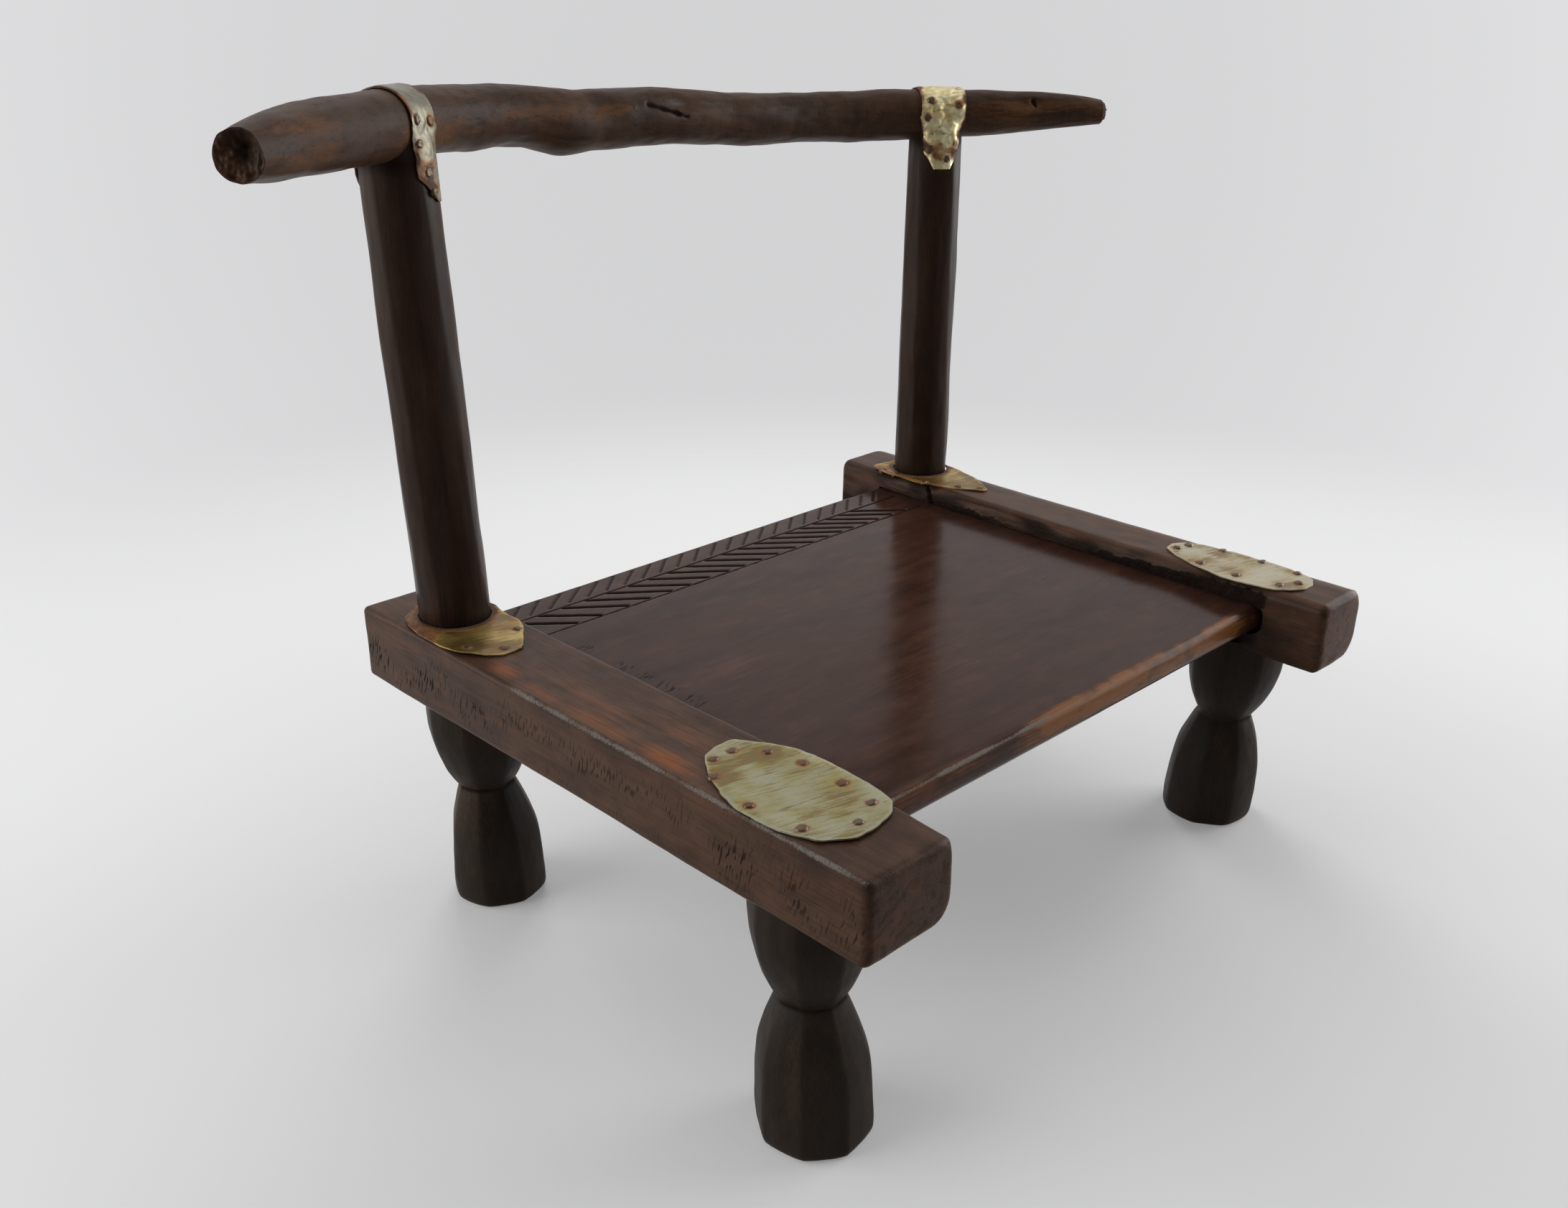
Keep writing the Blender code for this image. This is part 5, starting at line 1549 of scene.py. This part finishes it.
def rust_patch(point):
    """Rust that no nail explains: the left collar's outer flap and the right collar's lifted inner edge."""
    way = point - left_post.low.xy
    limit = Vector((cos(LEFT_FLAP_LIMIT), sin(LEFT_FLAP_LIMIT)))
    flap = smooth_step(-limit.cross(way), *LEFT_FLAP_EDGE) if way.length < LEFT_FLAP_REACH else 0.0
    way = point - right_post.low.xy
    turn = degrees(atan2(way.y, way.x)) % 360
    reach = way.length - right_post.radius(rail_top)
    start = RIGHT_RUST_FROM_POST + RIGHT_RUST_FARTHER * smooth_step(turn, *RIGHT_RUST_NARROWS)
    inner_edge = smooth_step(reach - start, 0.0, RIGHT_RUST_FADE)
    inner_edge *= smooth_step(turn, *RIGHT_RUST_START) * (1 - smooth_step(turn, *RIGHT_RUST_END))
    near_right = 1.0 if way.length < RIGHT_FLAP_REACH else 0.0
    return max(LEFT_FLAP_RUST * flap, RIGHT_FLAP_RUST * inner_edge * near_right)


def plate_outline(node_name, low, high, corners):
    """A plate's corners on its rail."""
    half = ((high.x - low.x) / 2, PLATE_LENGTHS[node_name] / 2)
    middle = Vector(((low.x + high.x) / 2, front_end + PLATE_MIDDLES[node_name]))
    return [middle + Vector((across * half[0], along * half[1])) for across, along in corners]


def collar_outline(post, corners):
    """A collar's corners round its post, and the middle and radius of its hole."""
    foot = post.axis(rail_top).xy
    radius = post.radius(rail_top)
    outline = []
    for angle, reach in corners:
        way = Vector((cos(radians(angle)), sin(radians(angle))))
        outline.append(foot + way * (radius + reach))
    return outline, (foot, radius + HOLE_CLEARANCE)


pale_sheet = sheet_finish(
    "pale_sheet", bright=(0.385, 0.370, 0.250), tarnish=(0.300, 0.255, 0.080), stain=0.05, relief=0.0004,
)
grey_sheet = sheet_finish(
    "grey_sheet", bright=(0.530, 0.480, 0.345), tarnish=(0.400, 0.315, 0.150), stain=0.0, relief=0.0004,
)
golden_sheet = sheet_finish(
    "golden_sheet", bright=(0.560, 0.405, 0.128), tarnish=(0.290, 0.165, 0.042), stain=0.07, relief=0.0005,
)


def flat_down(point):
    """A plate lies flat on its rail."""
    return 0.0


def left_flap(point):
    """The left collar's outer flap stands a little off the rail."""
    return LEFT_FLAP_LIFT * smooth_step(left_post.low.x - LEFT_FLAP_RUN - point.x, 0.0, LEFT_FLAP_RUN)


def right_flap(point):
    """The right collar's inner edge overhangs the rail and curls up."""
    return RIGHT_FLAP_LIFT * smooth_step(right_low.x + RIGHT_FLAP_OVER_RAIL - point.x, 0.0, RIGHT_FLAP_RUN)


PLATES = (
    ("front_plate_left", "front_left_plate", left_low, left_high, LEFT_PLATE_CORNERS, pale_sheet),
    ("front_plate_right", "front_right_plate", right_low, right_high, RIGHT_PLATE_CORNERS, grey_sheet),
)
for name, node_name, low, high, corners, metal in PLATES:
    make_sheet(name, node_name, plate_outline(node_name, low, high, corners), None, flat_down, metal)
COLLARS = (
    ("collar_left", "left_post_collar", left_post, LEFT_COLLAR_CORNERS, left_flap),
    ("collar_right", "right_post_collar", right_post, RIGHT_COLLAR_CORNERS, right_flap),
)
for name, node_name, post, corners, lifted in COLLARS:
    make_sheet(name, node_name, *collar_outline(post, corners), lifted, golden_sheet)


# Crest straps
# A strip of the same sheet over the branch at each post, hammered down the post's front and back.
# The strips are dented all over by the hammer, and rust has crept in from their nails and edges.
LEFT_STRAP = {
    "shift": -0.0010, "half": 0.0140, "tongue": 0.0105, "drop": 0.045, "tip start": 0.64, "tip share": 0.25,
    "tip side": 1.0, "skew": 0.0032, "dent": 0.0004, "rusty tongue": 0.72,
}
RIGHT_STRAP = {
    "shift": -0.0020, "half": 0.0195, "tongue": 0.0140, "drop": 0.041, "tip start": 0.68, "tip share": 0.46,
    "tip side": 0.0, "skew": 0.0032, "dent": 0.0009, "rusty tongue": 0.62,
}
STRAP_LIFT = 0.0007
STRAP_COLUMNS = 40
STRAP_TONGUE_ROWS = 56
STRAP_ARC_ROWS = 70
TONGUE_NECK_SHARE = 0.4
SADDLE_SHARE = 0.8
STRAP_RAGGED = 0.0008
STRAP_SEED = 90
STRAP_NAIL_REACH = 0.0048
STRAP_EDGE_SHARE = 0.14
STRAP_SHARP_ANGLE = radians(50)
STRAP_NAIL_SINK = 0.0003


class Strap:
    """The strip's surface over the branch and down a post."""

    def __init__(self, post, size):
        self.post = post
        self.size = size
        self.along = Vector((*post.tangent.xy, 0)).normalized()

    def over_crest(self, across, angle):
        share = crest_share_at(self.post.crossing.x + across * self.along.x)
        return crest_skin(share, angle, STRAP_LIFT)

    def crest_reach(self, across, drop, side):
        """How far the branch stands out to one side, below its middle."""
        crossing = self.post.crossing
        centre, radius = crest_station(crest_share_at(crossing.x + across * self.along.x))
        height = crossing.z - drop - centre.z
        aside = (centre - crossing).dot(self.post.forward)
        return side * aside + sqrt(max(radius ** 2 - height ** 2, 0.0))

    def post_reach(self, across, drop, side):
        """How far the post stands out to one side, below the branch's middle."""
        z = self.post.crossing.z - drop
        offset = self.post.axis(z) - self.post.crossing
        aside = across - offset.dot(self.along)
        round_reach = sqrt(max(self.post.radius(z) ** 2 - aside ** 2, 0.0))
        return side * offset.dot(self.post.forward) + round_reach

    def down_post(self, across, drop, side):
        """A point on the strip below the branch's middle; side is 1 in front and -1 behind."""
        crossing = self.post.crossing
        saddle = SADDLE_SHARE * self.post.crest_radius
        hammered = smooth_step(drop / saddle, 0.0, 1.0)
        bridge = self.crest_reach(across, 0.0, side) * (1 - hammered)
        bridge += self.post_reach(across, max(drop, saddle), side) * hammered
        reach = max(self.crest_reach(across, drop, side), bridge) + STRAP_LIFT
        flat = crossing + self.along * across + self.post.forward * (side * reach)
        return Vector((flat.x, flat.y, crossing.z - drop))

    def tongue_width(self, share):
        """Half width of the tongue at a share of its drop, and how much of it the tip's cut takes off."""
        neck = smooth_step(share, 0.0, TONGUE_NECK_SHARE)
        width = self.size["half"] + (self.size["tongue"] - self.size["half"]) * neck
        tip = max(share - self.size["tip start"], 0.0) / (1 - self.size["tip start"])
        cut = width * (1 - self.size["tip share"]) * tip
        return width - cut, cut

    def rows(self):
        """Rows of points from the front tip, over the branch, to the rear tip, with ragged sides."""
        spread = [2 * k / STRAP_COLUMNS - 1 for k in range(STRAP_COLUMNS + 1)]
        rows = []

        def tongue_row(share, side):
            width, cut = self.tongue_width(share)
            middle = self.size["shift"] + self.size["tip side"] * cut
            seed = self.size["drop"] * STRAP_SEED
            shakes = [noise.noise(Vector((9 * share, side * edge, seed))) for edge in (-1, 1)]
            ragged = [STRAP_RAGGED * shake for shake in shakes]
            acrosses = [middle + s * (width + ragged[int(s > 0)] * abs(s)) for s in spread]
            return [self.down_post(across, share * self.size["drop"], side) for across in acrosses]

        for k in range(STRAP_TONGUE_ROWS, -1, -1):
            rows.append(tongue_row(k / STRAP_TONGUE_ROWS, 1))
        for k in range(1, STRAP_ARC_ROWS):
            angle = pi * k / STRAP_ARC_ROWS
            shift = self.size["shift"] + self.size["skew"] * sin(angle)
            rows.append([self.over_crest(shift + s * self.size["half"], angle) for s in spread])
        for k in range(STRAP_TONGUE_ROWS + 1):
            rows.append(tongue_row(k / STRAP_TONGUE_ROWS, -1))
        return rows


def make_strap(name, node_name, strap, material):
    """A strap as a thick, dented sheet with rust near its nails and edges."""
    rows = strap.rows()
    width = STRAP_COLUMNS + 1
    faces = []
    for row in range(len(rows) - 1):
        for k in range(STRAP_COLUMNS):
            a = row * width + k
            faces.append((a, a + 1, a + 1 + width, a + width))
    sheet = add_piece(name, [point for row in rows for point in row], faces)
    if sheet.data.polygons[len(faces) // 2].normal.z < 0:
        sheet.data.flip_normals()
    spots = [point for point, _ in nail_places(node_name)[1]]
    rust = []
    moved = []
    for number, vertex in enumerate(sheet.data.vertices):
        row, column = divmod(number, width)
        edge = (STRAP_COLUMNS / 2 - abs(column - STRAP_COLUMNS / 2)) / STRAP_COLUMNS
        tip = min(row, len(rows) - 1 - row) / STRAP_TONGUE_ROWS
        low_tongue = strap.size["rusty tongue"] * smooth_step(1 - tip, 0.10, 0.7)
        patchy = 0.55 + 1.3 * noise.noise(vertex.co * 105)
        rust.append(max(
            0.75 * near_nails(vertex.co, spots, STRAP_NAIL_REACH),
            patchy * 0.90 * bump(edge, STRAP_EDGE_SHARE), patchy * low_tongue,
        ))
        dent = noise.noise(vertex.co * 130) + 0.6 * noise.noise(vertex.co * 290)
        depth = strap.size["dent"] * (0.55 + dent) * smooth_step(edge, 0.0, 0.1)
        moved.extend(vertex.co + vertex.normal * depth)
    sheet.data.vertices.foreach_set("co", moved)
    finish_sheet(sheet, {"rust": rust}, STRAP_SHARP_ANGLE, material, node_name, STRAP_NAIL_SINK)


silver_strap = sheet_finish(
    "silver_strap", bright=(0.220, 0.206, 0.152), tarnish=(0.160, 0.128, 0.072), stain=-0.02, relief=0.0005,
)
gold_strap = sheet_finish(
    "gold_strap", bright=(0.950, 0.870, 0.540), tarnish=(0.640, 0.460, 0.165), stain=0.03, relief=0.0006,
)
make_strap("strap_left", "left_crest_strap", Strap(left_post, LEFT_STRAP), silver_strap)
make_strap("strap_right", "right_crest_strap", Strap(right_post, RIGHT_STRAP), gold_strap)


# Floor and backdrop
# A pale seamless sweep: the floor near the stool takes its shadow and fades into a pale surround.
FLOOR_RADIUS = 4.0
FLOOR_SIDES = 64
FLOOR_FADE = (0.50, 1.35)
FLOOR_SEEN = (0.93, 0.93, 0.925, 1)
FLOOR_BOUNCE = (0.50, 0.50, 0.50, 1)
FLOOR_ROUGHNESS = 0.85
FLOOR_SHINE = 0.1
SHADOW_LIGHTENED = 0.25
floor_turns = [2 * pi * k / FLOOR_SIDES for k in range(FLOOR_SIDES)]
floor_points = [(FLOOR_RADIUS * cos(turn), FLOOR_RADIUS * sin(turn), 0.0) for turn in floor_turns]
floor = add_piece("studio_floor", floor_points, [tuple(range(FLOOR_SIDES))])
floor_paper = bpy.data.materials.new("floor_paper")
floor_paper.use_nodes = True
paper = floor_paper.node_tree
rays = node(paper, "ShaderNodeLightPath")
seen_directly = rays["Is Camera Ray"].most(rays["Is Glossy Ray"]).most(rays["Is Transmission Ray"])
floor_place = node(paper, "ShaderNodeTexCoord", None, "Object")
away = node(paper, "ShaderNodeVectorMath", {0: floor_place}, "Value", operation="LENGTH")
from_below = node(paper, "ShaderNodeNewGeometry", None, "Backfacing")
shown = (1 - away.rise(*FLOOR_FADE)) * (1 - from_below)
feed(paper.nodes["Principled BSDF"], {
    "Base Color": seen_directly.blend(FLOOR_BOUNCE, FLOOR_SEEN), "Roughness": FLOOR_ROUGHNESS,
    "Specular IOR Level": FLOOR_SHINE, "Alpha": shown * (1 - seen_directly * SHADOW_LIGHTENED),
})
floor.data.materials.append(floor_paper)

# Soft studio light: a window-like panel on each side, one overhead, one behind, and a dim, pale surround
BACKDROP = (0.70, 0.70, 0.71, 1)
AMBIENT = 0.40
TOWARD_DARK_SIDE = (-0.66, -0.70, 0.10)
DARK_SIDE = (-0.1, 0.8)
DARK_SIDE_LOSS = 0.72
BRIGHT_SIDE = (-1.0, -0.70)
BRIGHT_SIDE_GAIN = 0.30
BEHIND = 0.92
world = bpy.data.worlds.new("pale_surround")
bpy.context.scene.world = world
world.use_nodes = True
surround = world.node_tree
rays = node(surround, "ShaderNodeLightPath")
direction = node(surround, "ShaderNodeTexCoord", None, "Generated")
facing = {0: direction, 1: TOWARD_DARK_SIDE}
facing = node(surround, "ShaderNodeVectorMath", facing, "Value", operation="DOT_PRODUCT")
lit_side = 1 - facing.rise(*DARK_SIDE) * DARK_SIDE_LOSS
mirrored = lit_side * rays["Is Glossy Ray"].most(rays["Is Transmission Ray"])
behind = (facing.rise(*BRIGHT_SIDE) * BRIGHT_SIDE_GAIN + BEHIND) * rays["Is Camera Ray"]
strength = mirrored.most(behind).most(lit_side * AMBIENT)
feed(surround.nodes["Background"], {"Color": BACKDROP, "Strength": strength})


def soft_panel(name, place, target, width, height, watts):
    """A flat panel of even light that faces a target."""
    lamp = bpy.data.lights.new(name, "AREA")
    lamp.shape = "RECTANGLE"
    lamp.size = width
    lamp.size_y = height
    lamp.energy = watts
    panel = bpy.data.objects.new(name, lamp)
    panel.location = place
    panel.rotation_euler = (Vector(target) - Vector(place)).to_track_quat("-Z", "Y").to_euler()
    bpy.context.collection.objects.link(panel)
    return panel


LIGHT_TARGET = (0.0, 0.05, 0.20)
soft_panel("left_panel", (-1.85, 1.15, 0.95), LIGHT_TARGET, width=1.9, height=1.6, watts=27)
soft_panel("right_panel", (2.0, -0.7, 0.85), LIGHT_TARGET, width=1.9, height=1.6, watts=30)
soft_panel("overhead_panel", (0.15, 0.80, 2.3), LIGHT_TARGET, width=2.2, height=2.0, watts=9)
back_panel = soft_panel("back_panel", (1.05, 1.60, 1.15), LIGHT_TARGET, width=1.1, height=1.0, watts=15)
back_panel.visible_glossy = False

# Camera, from the photograph's viewpoint
PHOTO_WIDTH = 2184
FOCAL_PIXELS = 2121.3
SENSOR_WIDTH = 36.0
CAMERA_PLACE = (-0.7379, -0.6658, 0.6230)
CAMERA_TURN = (66.917, -0.433, -44.446)
camera_data = bpy.data.cameras.new("photo_view")
camera_data.sensor_fit = "HORIZONTAL"
camera_data.sensor_width = SENSOR_WIDTH
camera_data.lens = SENSOR_WIDTH * FOCAL_PIXELS / PHOTO_WIDTH
camera = bpy.data.objects.new("photo_view", camera_data)
camera.location = CAMERA_PLACE
camera.rotation_euler = [radians(turn) for turn in CAMERA_TURN]
bpy.context.collection.objects.link(camera)
bpy.context.scene.camera = camera
bpy.context.scene.view_settings.view_transform = "Standard"
